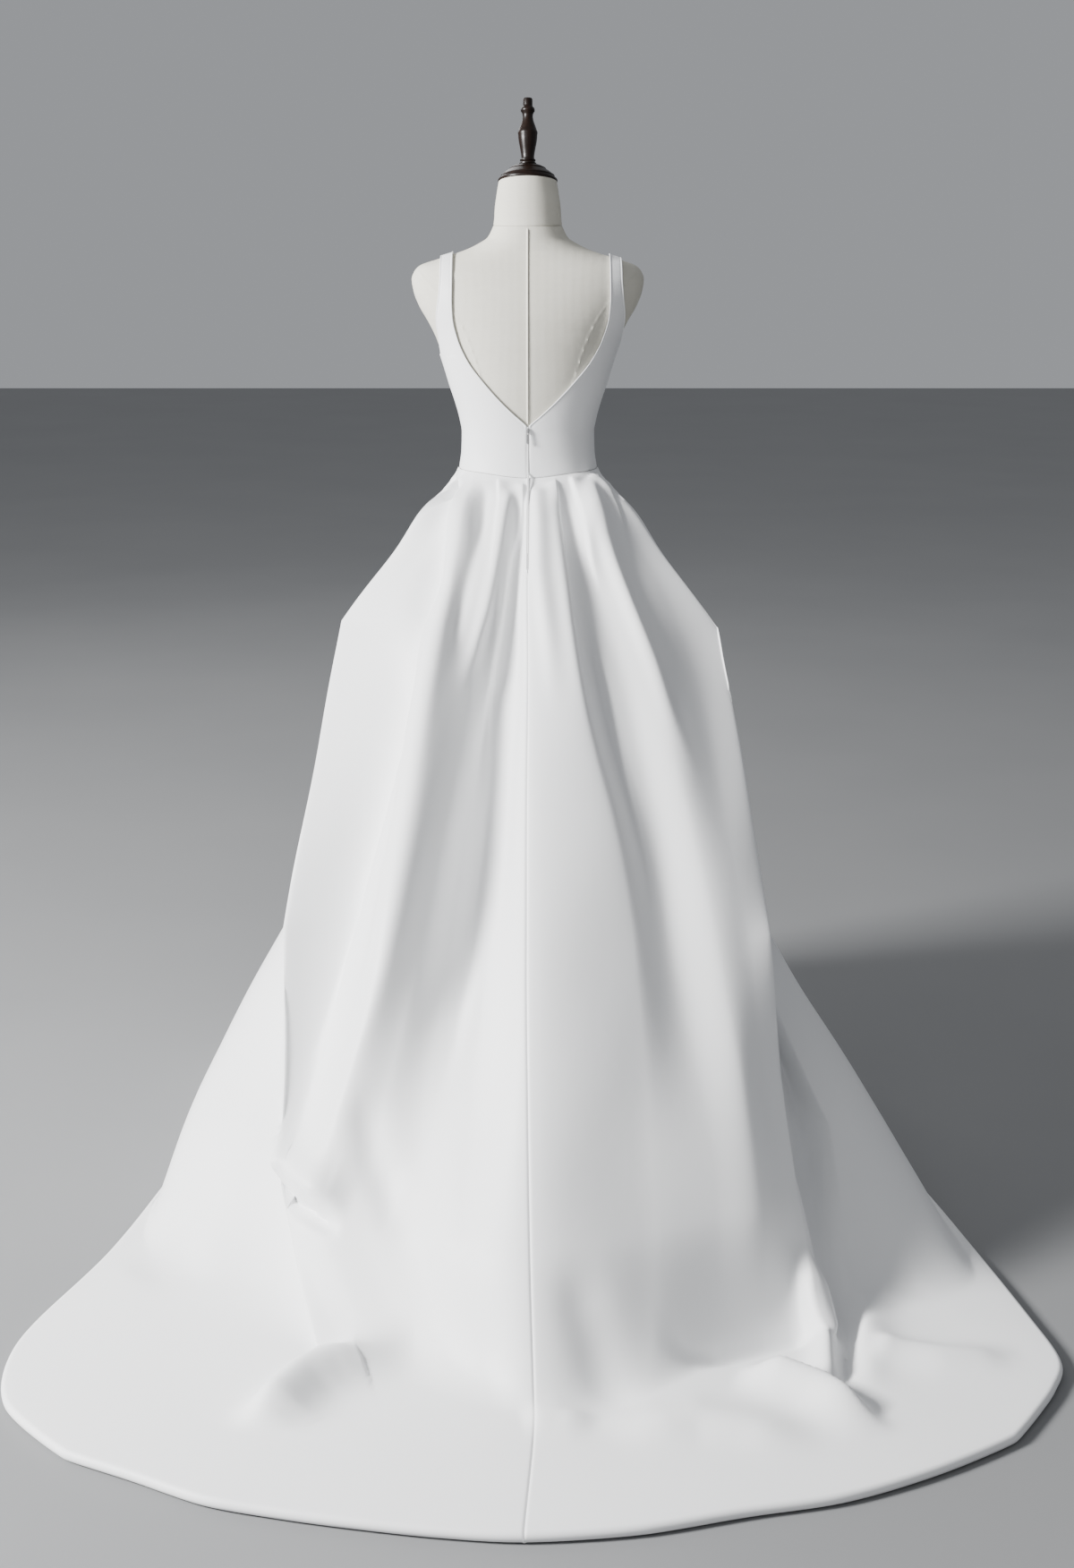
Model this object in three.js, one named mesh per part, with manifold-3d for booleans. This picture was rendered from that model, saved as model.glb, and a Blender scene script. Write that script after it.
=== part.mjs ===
// Wedding gown on a limbless dress form, in millimetres.
// +Z is up, the wearer faces -Y and the train runs out towards +Y; the wearer's left is +X.
// The origin is the centre of the stand's base, on the floor.
import * as THREE from "three";
import { mergeVertices } from "three/addons/utils/BufferGeometryUtils.js";
import Module from "manifold-3d";

const wasm = await Module();
wasm.setup();

// ---- driving dimensions -------------------------------------------------------------------
const CLOTH = 2;              // wall of the satin panels
const SEAM_GAP = 0.3;         // space between pieces that are sewn or rest on each other
const BODICE_EASE = 1.9;      // from the form's cover to the inside of the bodice
const WAIST_Z = 1128;         // waist seam
const V_POINT_Z = 1207;       // lowest point of the back neckline, where the zip starts
const FRONT_V_Z = 1300;       // lowest point of the front neckline
const RIDGE_Z = 1446;         // height above which the straps turn over the shoulder
const NECK_SEAM_Z = 1534;
const NECK_TOP_Z = 1605;
const NECK_TILT = 0.22;       // forward lean of the neck's top, in radians
const FORM_BOTTOM_Z = 790;
const FORM_SIDES = 36;
const SECTION_POWER = 2.2;    // squareness of the body's sections, 2 is a true ellipse
const HEM_ROLL = 8;           // radius of the turned and padded hem
const HEM_FLOOR = 1;          // lowest point of the hem above the floor
const TRAIN_Z = HEM_FLOOR + 2 * HEM_ROLL;
const ZIP_WIDTH = 2.6;        // closed coil of the zip
const ZIP_END_Z = 1000;
const BASE = { radius: 180, height: 16, bossRadius: 30, bossHeight: 40 };
const POLE_RADIUS = 16;
const CAP = { radius: 50, rim: 4, height: 28, top: 15 };

// Body of the form: half width, depth to the back and depth to the front at each height.
const BODY = [
  { z: 790, half: 126, back: 92, front: 90 },
  { z: 812, half: 140, back: 104, front: 100 },
  { z: 860, half: 149, back: 112, front: 105 },
  { z: 920, half: 148, back: 112, front: 103 },
  { z: 980, half: 140, back: 105, front: 97 },
  { z: 1040, half: 128, back: 93, front: 91 },
  { z: 1090, half: 118, back: 82, front: 86 },
  { z: 1128, half: 115, back: 78, front: 86 },
  { z: 1157, half: 111, back: 76, front: 88 },
  { z: 1190, half: 110, back: 78, front: 94 },
  { z: 1214, half: 114, back: 82, front: 101 },
  { z: 1240, half: 121, back: 87, front: 111 },
  { z: 1270, half: 131, back: 92, front: 119 },
  { z: 1300, half: 140, back: 96, front: 122 },
  { z: 1325, half: 148, back: 99, front: 118 },
  { z: 1350, half: 157, back: 101, front: 110 },
  { z: 1376, half: 170, back: 101, front: 101 },
  { z: 1402, half: 185, back: 98, front: 91 },
  { z: 1426, half: 194, back: 92, front: 80 },
  { z: 1446, half: 197, back: 84, front: 69 },
  { z: 1458, half: 193, back: 78, front: 61 },
  { z: 1468, half: 184, back: 71, front: 55 },
  { z: 1480, half: 150, back: 64, front: 51 },
  { z: 1487, half: 127, back: 61, front: 49 },
  { z: 1495, half: 104, back: 58, front: 48 },
  { z: 1504, half: 85, back: 56, front: 47 },
  { z: 1515, half: 68, back: 54, front: 47 },
  { z: 1534, half: 58, back: 52, front: 48 },
];

// Neckline (inner edge) and armhole (outer edge) of one back half, as widths from the middle.
const BACK_EDGES = [
  { z: 1128, neck: 0, arm: null },
  { z: 1207, neck: 0, arm: null },
  { z: 1225, neck: 21, arm: null },
  { z: 1250, neck: 47, arm: null },
  { z: 1282, neck: 76, arm: null },
  { z: 1314, neck: 101, arm: null },
  { z: 1322, neck: 106, arm: 147 },
  { z: 1350, neck: 119, arm: 152 },
  { z: 1388, neck: 129, arm: 157 },
  { z: 1420, neck: 131, arm: 154 },
  { z: 1446, neck: 131, arm: 152 },
];
const FRONT_EDGES = [
  { z: 1128, neck: 0, arm: null },
  { z: 1300, neck: 0, arm: null },
  { z: 1322, neck: 38, arm: 147 },
  { z: 1350, neck: 74, arm: 150 },
  { z: 1380, neck: 101, arm: 153 },
  { z: 1420, neck: 124, arm: 154 },
  { z: 1446, neck: 131, arm: 152 },
];
const STRAP_SHIFT = { left: -6, right: 5 };   // the straps sit a little unevenly on the shoulders

// Fold lines of the skirt, from the left side seam round the back to the right side seam.
// waist: angle on the waist seam from the middle of the back; the other columns are x, y at
// hip, knee and shin height, where the fold meets the floor, and at the hem.
// crisp: 1 keeps the line's corners, 0 rounds them; tight: 1 pinches the fold, 0 rolls it.
const FOLDS = [
  { name: "side_left", waist: 90, hip: [212, -12], knee: [335, -5], shin: [455, 30],
    foot: [505, 55], hem: [530, 60], crisp: 0, tight: 0 },
  { name: "flare_left", waist: 78, hip: [208, 62], knee: [352, 240], shin: [527, 545],
    foot: [600, 690], hem: [632, 735], crisp: 0, tight: 0 },
  { name: "panel_left", waist: 70, hip: [205, 95], knee: [325, 345], shin: [446, 630],
    foot: [535, 830], hem: [716, 1060], crisp: 0, tight: 0 },
  { name: "valley_left", waist: 65, hip: [196, 108], knee: [290, 400], shin: [300, 700],
    foot: [320, 930], hem: [695, 1200], crisp: 0, tight: 0.2 },
  { name: "edge_left", waist: 61, hip: [312, 190], knee: [371, 640], shin: [360, 876],
    foot: [274, 1128], hem: [592, 1325], crisp: 1, tight: 0.7 },
  { name: "hollow_left", waist: 56, hip: [170, 312], knee: [256, 610], shin: [345, 893],
    foot: [240, 1142], hem: [500, 1376], crisp: 0, tight: 0 },
  { name: "crest_left", waist: 48, hip: [138, 384], knee: [208, 770], shin: [300, 936],
    foot: [196, 1158], hem: [400, 1432], crisp: 0, tight: 0.2 },
  { name: "tuck_left", waist: 34, hip: [84, 378], knee: [160, 752], shin: [226, 957],
    foot: [140, 1178], hem: [300, 1462], crisp: 0, tight: 0 },
  { name: "second_left", waist: 21, hip: [52, 362], knee: [112, 716], shin: [160, 982],
    foot: [95, 1205], hem: [205, 1484], crisp: 0, tight: 0 },
  { name: "trough_left", waist: 8, hip: [22, 346], knee: [58, 702], shin: [92, 1042],
    foot: [48, 1228], hem: [100, 1503], crisp: 0, tight: 0 },
  { name: "centre", waist: 0, hip: [0, 388], knee: [0, 800], shin: [-6, 1098],
    foot: [-12, 1255], hem: [0, 1512], crisp: 0, tight: 0 },
  { name: "crest_right", waist: -15, hip: [-70, 404], knee: [-160, 754], shin: [-178, 1030],
    foot: [-165, 1195], hem: [-140, 1497], crisp: 0, tight: 0.2 },
  { name: "trough_right", waist: -29, hip: [-112, 350], knee: [-214, 708], shin: [-270, 985],
    foot: [-268, 1108], hem: [-275, 1458], crisp: 0, tight: 0 },
  { name: "second_right", waist: -43, hip: [-186, 356], knee: [-288, 712], shin: [-335, 952],
    foot: [-345, 1062], hem: [-400, 1425], crisp: 0, tight: 0.1 },
  { name: "hollow_right", waist: -54, hip: [-254, 296], knee: [-334, 690], shin: [-374, 900],
    foot: [-402, 1046], hem: [-530, 1360], crisp: 0, tight: 0 },
  { name: "edge_right", waist: -61, hip: [-315, 262], knee: [-370, 674], shin: [-393, 872],
    foot: [-434, 1055], hem: [-640, 1283], crisp: 1, tight: 0.7 },
  { name: "valley_right", waist: -65, hip: [-196, 108], knee: [-290, 370], shin: [-425, 570],
    foot: [-456, 965], hem: [-705, 1180], crisp: 0, tight: 0.2 },
  { name: "lip_right", waist: -68, hip: [-201, 100], knee: [-316, 350], shin: [-472, 645],
    foot: [-494, 890], hem: [-720, 1150], crisp: 1, tight: 0.5 },
  { name: "panel_right", waist: -72, hip: [-206, 88], knee: [-328, 305], shin: [-514, 648],
    foot: [-612, 912], hem: [-738, 1100], crisp: 0, tight: 0 },
  { name: "flare_right", waist: -80, hip: [-210, 50], knee: [-332, 215], shin: [-550, 600],
    foot: [-672, 850], hem: [-722, 960], crisp: 0, tight: 0 },
  { name: "side_right", waist: -90, hip: [-212, -12], knee: [-335, -5], shin: [-458, 40],
    foot: [-520, 75], hem: [-548, 80], crisp: 0, tight: 0 },
];
// Plain front: flutes round half an ellipse, with its depth and width at each height.
const FRONT = {
  folds: 9, flute: 0.045,
  hip: [212, 178], knee: [335, 300], shin: [456, 395], foot: [512, 446], hem: [538, 470],
};
// Knots of a fold line: share of the way down, and height.
const LEVELS = [
  { name: "waist", at: 0, z: WAIST_Z - SEAM_GAP },
  { name: "hip", at: 0.22, z: 894 },
  { name: "knee", at: 0.48, z: 500 },
  { name: "shin", at: 0.7, z: 180 },
  { name: "foot", at: 0.85, z: TRAIN_Z + 2 },
  { name: "hem", at: 1, z: TRAIN_Z },
];
const SKIRT_ROWS = [4, 3, 3, 2, 2];   // rows of facets between neighbouring levels
const SKIRT_COLUMNS = 3;              // columns of facets between neighbouring folds
const HEM_TURNS = [40, -20, -80];   // angles of the rolled hem's rows

// ---- colours and finishes -----------------------------------------------------------------
function finish(color, roughness, metalness) {
  return new THREE.MeshStandardMaterial({ color, roughness, metalness, side: THREE.DoubleSide });
}
const satin = () => finish(0xf4f4f3, 0.5, 0);
const linen = () => finish(0xe4e0d2, 0.85, 0);
const wood = () => finish(0x4a2c1c, 0.4, 0);
const steel = () => finish(0xd8d8d8, 0.3, 1);
const enamel = () => finish(0xf2f2f0, 0.35, 0);

// ---- small maths --------------------------------------------------------------------------
const radians = THREE.MathUtils.degToRad;
const mix = (a, b, t) => a + (b - a) * t;

// Smooth curve through values at knots that never overshoots them.
function monotone(knots, values, at) {
  const last = knots.length - 1;
  const step = (i) => (values[i + 1] - values[i]) / (knots[i + 1] - knots[i]);
  const slope = (i) => {
    if (i === 0) return step(0);
    if (i === last) return step(last - 1);
    const before = step(i - 1);
    const after = step(i);
    return before * after <= 0 ? 0 : (2 * before * after) / (before + after);
  };
  let i = 0;
  while (i < last - 1 && at > knots[i + 1]) i += 1;
  const span = knots[i + 1] - knots[i];
  const t = THREE.MathUtils.clamp((at - knots[i]) / span, 0, 1);
  const [t2, t3] = [t * t, t * t * t];
  return (2 * t3 - 3 * t2 + 1) * values[i] + (t3 - 2 * t2 + t) * span * slope(i)
    + (3 * t2 - 2 * t3) * values[i + 1] + (t3 - t2) * span * slope(i + 1);
}

function linear(knots, values, at) {
  let i = 0;
  while (i < knots.length - 2 && at > knots[i + 1]) i += 1;
  return mix(values[i], values[i + 1], (at - knots[i]) / (knots[i + 1] - knots[i]));
}

const column = (table, key) => table.map((row) => row[key]);
const along = (table, key, z) => monotone(column(table, "z"), column(table, key), z);

// ---- closed walls of cloth ----------------------------------------------------------------
function geometryOf(points, triangles) {
  const geometry = new THREE.BufferGeometry();
  const flat = points.flatMap((p) => [p.x, p.y, p.z]);
  geometry.setAttribute("position", new THREE.Float32BufferAttribute(flat, 3));
  geometry.setIndex(triangles);
  return geometry;
}

// Turns a closed mesh the right way out if its volume comes out negative.
function outward(points, triangles) {
  let volume = 0;
  const cross = new THREE.Vector3();
  for (let i = 0; i < triangles.length; i += 3) {
    const [a, b, c] = [0, 1, 2].map((k) => points[triangles[i + k]]);
    volume += a.dot(cross.crossVectors(b, c));
  }
  if (volume > 0) return triangles;
  const turned = [];
  for (let i = 0; i < triangles.length; i += 3) {
    turned.push(triangles[i], triangles[i + 2], triangles[i + 1]);
  }
  return turned;
}

// rows[i][j] = { p, n }: points of the cloth's face and its outward normals.
function wall(rows, thickness) {
  const [height, width] = [rows.length, rows[0].length];
  const face = rows.flat().map((q) => q.p);
  const back = rows.flat().map((q) => q.p.clone().addScaledVector(q.n, -thickness));
  const points = [...face, ...back];
  const triangles = [];
  const id = (i, j, side) => side * width * height + i * width + j;
  const quad = (a, b, c, d) => triangles.push(a, b, c, a, c, d);
  for (let i = 0; i + 1 < height; i += 1) {
    for (let j = 0; j + 1 < width; j += 1) {
      quad(id(i, j, 0), id(i + 1, j, 0), id(i + 1, j + 1, 0), id(i, j + 1, 0));
      quad(id(i, j, 1), id(i, j + 1, 1), id(i + 1, j + 1, 1), id(i + 1, j, 1));
    }
  }
  for (let i = 0; i + 1 < height; i += 1) {
    quad(id(i, 0, 0), id(i, 0, 1), id(i + 1, 0, 1), id(i + 1, 0, 0));
    quad(id(i, width - 1, 0), id(i + 1, width - 1, 0), id(i + 1, width - 1, 1), id(i, width - 1, 1));
  }
  for (let j = 0; j + 1 < width; j += 1) {
    quad(id(0, j, 0), id(0, j + 1, 0), id(0, j + 1, 1), id(0, j, 1));
    quad(id(height - 1, j, 0), id(height - 1, j, 1), id(height - 1, j + 1, 1), id(height - 1, j + 1, 0));
  }
  return geometryOf(points, outward(points, triangles));
}

// Stack of rings closed by a fan at each end.
function loft(rings) {
  const sides = rings[0].length;
  const points = rings.flat();
  const triangles = [];
  for (let i = 0; i + 1 < rings.length; i += 1) {
    for (let j = 0; j < sides; j += 1) {
      const k = (j + 1) % sides;
      const [a, b, c, d] = [i * sides + j, i * sides + k, (i + 1) * sides + k, (i + 1) * sides + j];
      triangles.push(a, b, c, a, c, d);
    }
  }
  const centre = (ring) => ring.reduce((sum, p) => sum.add(p), new THREE.Vector3())
    .divideScalar(sides);
  const bottom = points.push(centre(rings[0])) - 1;
  const top = points.push(centre(rings[rings.length - 1])) - 1;
  const start = (rings.length - 1) * sides;
  for (let j = 0; j < sides; j += 1) {
    const k = (j + 1) % sides;
    triangles.push(bottom, k, j, top, start + j, start + k);
  }
  return geometryOf(points, outward(points, triangles));
}

function node(name, geometry, material) {
  const mesh = new THREE.Mesh(geometry, material);
  mesh.name = name;
  return mesh;
}

// ---- the body that the gown is cut to -----------------------------------------------------
// angle: 0 at the middle of the back, 90 at the wearer's left side, 180 at the front.
function bodyPoint(angle, z) {
  const [s, c] = [Math.sin(radians(angle)), Math.cos(radians(angle))];
  const power = 2 / SECTION_POWER;
  const depth = along(BODY, c >= 0 ? "back" : "front", z);
  const x = along(BODY, "half", z) * Math.sign(s) * Math.abs(s) ** power;
  return new THREE.Vector3(x, depth * Math.sign(c) * Math.abs(c) ** power, z);
}

function bodyNormal(angle, z) {
  const [turn, rise] = [4, 4];
  const across = bodyPoint(angle + turn, z).sub(bodyPoint(angle - turn, z));
  const up = bodyPoint(angle, z + rise).sub(bodyPoint(angle, z - rise));
  return up.cross(across).normalize();
}

// Angle at which the body has a given width, and height at which the shoulder has it.
function angleAt(x, z) {
  const share = Math.min(Math.abs(x) / along(BODY, "half", z), 1);
  return Math.asin(share ** (SECTION_POWER / 2)) / radians(1);
}

function shoulderHeight(x, angle) {
  const half = x / Math.sin(radians(angle)) ** (2 / SECTION_POWER);
  let [low, high] = [RIDGE_Z, NECK_SEAM_Z];
  for (let i = 0; i < 30; i += 1) {
    const middle = (low + high) / 2;
    if (along(BODY, "half", middle) > half) low = middle;
    else high = middle;
  }
  return low;
}

// ---- bodice -------------------------------------------------------------------------------
const BODICE_COLUMNS = 8;
const BACK_ROWS = [1128, 1156, 1182, 1206.9, 1224, 1250, 1286, 1321.9, 1334, 1348, 1372, 1402, 1424, 1446];
const FRONT_ROWS = [1128, 1160, 1192, 1224, 1262, 1299.9, 1310, 1321.9, 1334, 1348, 1374, 1408, 1446];
const OVER_SHOULDER = [0.1, 0.2, 0.32, 0.45, 0.6, 0.8, 1];

// One half of the back or front, with its strap up to the seam on the shoulder.
function bodiceHalf(side, front) {
  const sign = side === "left" ? 1 : -1;
  const edges = front ? FRONT_EDGES : BACK_EDGES;
  const openFrom = front ? FRONT_V_Z : V_POINT_Z;
  const middleGap = (front ? SEAM_GAP : ZIP_WIDTH + 2 * SEAM_GAP) / 2;
  const shift = (z) => STRAP_SHIFT[side] * THREE.MathUtils.smoothstep(z, openFrom, RIDGE_Z);
  const lift = BODICE_EASE + CLOTH;
  const place = (angle, z) => {
    const turned = sign * (front ? 180 - angle : angle);
    const n = bodyNormal(turned, z);
    return { p: bodyPoint(turned, z).addScaledVector(n, lift), n };
  };
  const sideGap = SEAM_GAP / 2 / 120 / radians(1);
  const limits = (z) => {
    const neck = Math.max(linear(column(edges, "z"), column(edges, "neck"), z) + shift(z), middleGap);
    const armed = edges.filter((row) => row.arm !== null);
    const free = z >= armed[0].z;
    const arm = free ? linear(column(armed, "z"), column(armed, "arm"), z) + shift(z) : 0;
    return [angleAt(neck, z), free ? angleAt(arm, z) : 90 - sideGap];
  };
  const columns = Array.from({ length: BODICE_COLUMNS + 1 }, (_, j) => j / BODICE_COLUMNS);
  const rows = (front ? FRONT_ROWS : BACK_ROWS).map((z) => {
    const [inner, outer] = limits(z);
    return columns.map((w) => place(mix(inner, outer, w), z));
  });
  const [inner, outer] = limits(RIDGE_Z);
  const last = 90 - SEAM_GAP / 2 / 55 / radians(1);
  for (const share of OVER_SHOULDER) {
    rows.push(columns.map((w) => {
      const start = mix(inner, outer, w);
      const x = along(BODY, "half", RIDGE_Z) * Math.sin(radians(start)) ** (2 / SECTION_POWER);
      const angle = mix(start, last, share);
      return place(angle, shoulderHeight(x, angle));
    }));
  }
  const name = `bodice_${front ? "front" : "back"}_${side}`;
  return node(name, wall(rows, CLOTH), satin());
}

// ---- skirt --------------------------------------------------------------------------------
function frontFolds() {
  const folds = [];
  for (let k = 1; k < FRONT.folds; k += 1) {
    const angle = -90 - (180 * k) / FRONT.folds;
    const swell = 1 + FRONT.flute * (k % 2 ? -1 : 1);
    const row = { name: `front_${k}`, waist: angle, crisp: 0, tight: 0 };
    for (const level of ["hip", "knee", "shin", "foot", "hem"]) {
      const [width, depth] = FRONT[level];
      const [s, c] = [Math.sin(radians(angle)), Math.cos(radians(angle))];
      row[level] = [width * s * swell, depth * c * swell];
    }
    folds.push(row);
  }
  return folds;
}
const RIBS = [...FOLDS, ...frontFolds()];
const CENTRE = FOLDS.findIndex((fold) => fold.name === "centre");
const KNOTS = column(LEVELS, "at");

// Point of one fold line at a share of the way down.
function ribPoint(index, at) {
  const fold = RIBS[(index + RIBS.length) % RIBS.length];
  const waist = bodyPoint(fold.waist, WAIST_Z)
    .addScaledVector(bodyNormal(fold.waist, WAIST_Z), BODICE_EASE + CLOTH);
  const route = [[waist.x, waist.y], fold.hip, fold.knee, fold.shin, fold.foot, fold.hem];
  const plan = [0, 1].map((axis) => {
    const values = route.map((point) => point[axis]);
    return mix(monotone(KNOTS, values, at), linear(KNOTS, values, at), fold.crisp);
  });
  return new THREE.Vector3(plan[0], plan[1], monotone(KNOTS, column(LEVELS, "z"), at));
}

// Point of the skirt: across counts fold lines, at is the share of the way down.
function skirtPoint(across, at) {
  const index = Math.floor(across + 1e-9);
  const t = across - index;
  const [p0, p1, p2, p3] = [-1, 0, 1, 2].map((k) => ribPoint(index + k, at));
  const [d0, d1, d2] = [[p0, p1], [p1, p2], [p2, p3]].map(([a, b]) => Math.sqrt(a.distanceTo(b)) + 1e-3);
  const tangent = (a, b, c, before, after, here, tight) => b.clone().sub(a).divideScalar(before)
    .sub(c.clone().sub(a).divideScalar(before + after))
    .add(c.clone().sub(b).divideScalar(after))
    .multiplyScalar(here * (1 - tight));
  const tightness = (k) => RIBS[(index + k + RIBS.length) % RIBS.length].tight;
  const m1 = tangent(p0, p1, p2, d0, d1, d1, tightness(0));
  const m2 = tangent(p1, p2, p3, d1, d2, d1, tightness(1));
  const [t2, t3] = [t * t, t * t * t];
  return p1.clone().multiplyScalar(2 * t3 - 3 * t2 + 1).addScaledVector(m1, t3 - 2 * t2 + t)
    .addScaledVector(p2, 3 * t2 - 2 * t3).addScaledVector(m2, t3 - t2);
}

function skirtNormal(across, at) {
  const [slide, drop] = [0.12, 0.012];
  const round = skirtPoint(across + slide, at).sub(skirtPoint(across - slide, at));
  const low = Math.min(at + drop, 1);
  const down = skirtPoint(across, low).sub(skirtPoint(across, low - 2 * drop));
  return down.cross(round).normalize();
}

// Panel between two fold lines, with its hem rolled under.
function skirtPanel(name, from, to, gaps) {
  const columns = (to - from) * SKIRT_COLUMNS;
  const shares = [0];
  SKIRT_ROWS.forEach((count, i) => {
    for (let k = 1; k <= count; k += 1) shares.push(mix(KNOTS[i], KNOTS[i + 1], k / count));
  });
  const rows = shares.map((at) => Array.from({ length: columns + 1 }, (_, j) => {
    const across = from + j / SKIRT_COLUMNS;
    const n = skirtNormal(across, at);
    const p = skirtPoint(across, at);
    const edge = j === 0 ? 1 : j === columns ? -1 : 0;
    if (edge) {
      const slide = skirtPoint(across + 0.05 * edge, at).sub(p);
      const middle = across === CENTRE;
      slide.divideScalar(middle ? Math.abs(slide.x) : slide.length());
      p.addScaledVector(slide, gaps[edge > 0 ? 0 : 1](p.z));
      if (middle) n.setX(0).normalize();
    }
    return { p, n };
  }));
  const flat = rows[rows.length - 1];
  const outwards = flat.map((q, j) => {
    const across = from + j / SKIRT_COLUMNS;
    const round = skirtPoint(across + 0.1, 1).sub(skirtPoint(across - 0.1, 1));
    return new THREE.Vector3(round.y, -round.x, 0).normalize();
  });
  flat.forEach((q) => q.n.set(0, 0, 1));
  for (const turn of HEM_TURNS) {
    const [s, c] = [Math.sin(radians(turn)), Math.cos(radians(turn))];
    rows.push(flat.map((q, j) => {
      const n = outwards[j].clone().multiplyScalar(c).setZ(s);
      const p = q.p.clone().addScaledVector(outwards[j], HEM_ROLL * c);
      return { p: p.setZ(q.p.z + HEM_ROLL * (s - 1)), n };
    }));
  }
  return node(name, wall(rows, CLOTH), satin());
}

function skirt() {
  const sewn = () => SEAM_GAP / 2;
  const zipped = (z) => (z > ZIP_END_Z - 10 ? ZIP_WIDTH / 2 + SEAM_GAP : SEAM_GAP / 2);
  const last = FOLDS.length - 1;
  return [
    skirtPanel("skirt_back_left", 0, CENTRE, [sewn, zipped]),
    skirtPanel("skirt_back_right", CENTRE, last, [zipped, sewn]),
    skirtPanel("skirt_front", last, RIBS.length, [sewn, sewn]),
  ];
}

// ---- zip ----------------------------------------------------------------------------------
const SLIDER = { half: 2.7, long: 9, plate: 1.2, z: 1199 };
const BRIDGE = { half: 0.8, reach: 2.8, bar: 0.8, long: 7 };
const PULL = { half: 2.7, eyeHalf: 1.4, thick: 1, strip: 0.6, eye: 4.2, long: 21, axisZ: 1197.8 };

// Middle line of the back opening: down the bodice and then down the skirt's seam.
function zipLine(steps) {
  const line = [];
  const lift = BODICE_EASE + CLOTH;
  const top = V_POINT_Z - 1;
  for (let i = 0; i <= steps; i += 1) {
    const z = mix(top, WAIST_Z, i / steps);
    const n = bodyNormal(0, z);
    line.push({ p: bodyPoint(0, z).addScaledVector(n, lift), n });
  }
  let at = 0.012;
  while (skirtPoint(CENTRE, at).z > ZIP_END_Z) {
    line.push({ p: skirtPoint(CENTRE, at), n: skirtNormal(CENTRE, at) });
    at += 0.02;
  }
  return line;
}

function zipCoil() {
  const rows = zipLine(6).map(({ p, n }) => [-1, 0, 1].map((k) => {
    const flat = n.clone().setX(0).normalize();
    return { p: p.clone().setX((k * ZIP_WIDTH) / 2).addScaledVector(flat, k === 0 ? 0.3 : 0), n: flat };
  }));
  return node("zip_coil", wall(rows, CLOTH), enamel());
}

function backFaceY(z) {
  return bodyPoint(0, z).y + BODICE_EASE + CLOTH;
}
const SLIDER_Y = backFaceY(SLIDER.z + SLIDER.long / 2) + 2 * SEAM_GAP + 0.3;
const PULL_AXIS_Y = SLIDER_Y + SLIDER.plate + (BRIDGE.reach - BRIDGE.bar) / 2;

function solid(geometry) {
  const plain = geometry.clone();
  plain.deleteAttribute("normal");
  plain.deleteAttribute("uv");
  const merged = mergeVertices(plain, 1e-4);
  const vertProperties = new Float32Array(merged.attributes.position.array);
  const triVerts = new Uint32Array(merged.index.array);
  return new wasm.Manifold(new wasm.Mesh({ numProp: 3, vertProperties, triVerts }));
}

function fromSolid(shape) {
  const { vertProperties, triVerts } = shape.getMesh();
  const geometry = new THREE.BufferGeometry();
  geometry.setAttribute("position", new THREE.BufferAttribute(vertProperties, 3));
  geometry.setIndex(new THREE.BufferAttribute(triVerts, 1));
  return geometry;
}

// Slider plate with the little arch that carries the pull.
function zipSlider() {
  const plate = new THREE.BoxGeometry(2 * SLIDER.half, SLIDER.plate, SLIDER.long);
  plate.translate(0, SLIDER.plate / 2, 0);
  const arch = new THREE.Shape();
  const [end, reach] = [BRIDGE.long / 2, BRIDGE.reach];
  arch.moveTo(0, -end).lineTo(reach - 0.5, -end).lineTo(reach, -end + 0.5).lineTo(reach, end - 0.5);
  arch.lineTo(reach - 0.5, end).lineTo(0, end).lineTo(0, end - BRIDGE.bar);
  arch.lineTo(reach - BRIDGE.bar, end - BRIDGE.bar).lineTo(reach - BRIDGE.bar, -end + BRIDGE.bar);
  arch.lineTo(0, -end + BRIDGE.bar);
  const bridge = new THREE.ExtrudeGeometry(arch, { depth: 2 * BRIDGE.half, bevelEnabled: false });
  const standing = new THREE.Matrix4().makeBasis(
    new THREE.Vector3(0, 1, 0), new THREE.Vector3(0, 0, 1), new THREE.Vector3(1, 0, 0));
  bridge.applyMatrix4(standing).translate(-BRIDGE.half, SLIDER.plate - 0.2, 0);
  const slider = node("zip_slider", fromSolid(solid(plate).add(solid(bridge))), steel());
  slider.position.set(0, SLIDER_Y, SLIDER.z);
  return slider;
}

// Drop-shaped pull that hangs from the arch by the strip over its eye.
function zipPull() {
  const { half, eyeHalf, strip, eye, long } = PULL;
  const drop = new THREE.Shape();
  drop.moveTo(-half + 0.6, strip).lineTo(half - 0.6, strip).lineTo(half, strip - 0.6);
  drop.lineTo(half - 0.5, -eye - 2);
  drop.absarc(0, -long + half, half, 0, -Math.PI, true);
  drop.lineTo(-half + 0.5, -eye - 2).lineTo(-half, strip - 0.6);
  const plate = new THREE.ExtrudeGeometry(drop,
    { depth: PULL.thick, bevelEnabled: false, curveSegments: 8 });
  const hole = new THREE.BoxGeometry(2 * eyeHalf, eye - strip, 3 * PULL.thick);
  hole.translate(0, -(eye + strip) / 2, PULL.thick / 2);
  const pierced = fromSolid(solid(plate).subtract(solid(hole)));
  pierced.translate(0, 0, -PULL.thick / 2).rotateX(Math.PI / 2);
  const pull = node("zip_pull", pierced, steel());
  pull.position.set(0, PULL_AXIS_Y, PULL.axisZ);
  return pull;
}

// ---- dress form and stand -----------------------------------------------------------------
function ringAt(z, shape) {
  return Array.from({ length: FORM_SIDES }, (_, j) => shape((360 * j) / FORM_SIDES, z));
}

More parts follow.
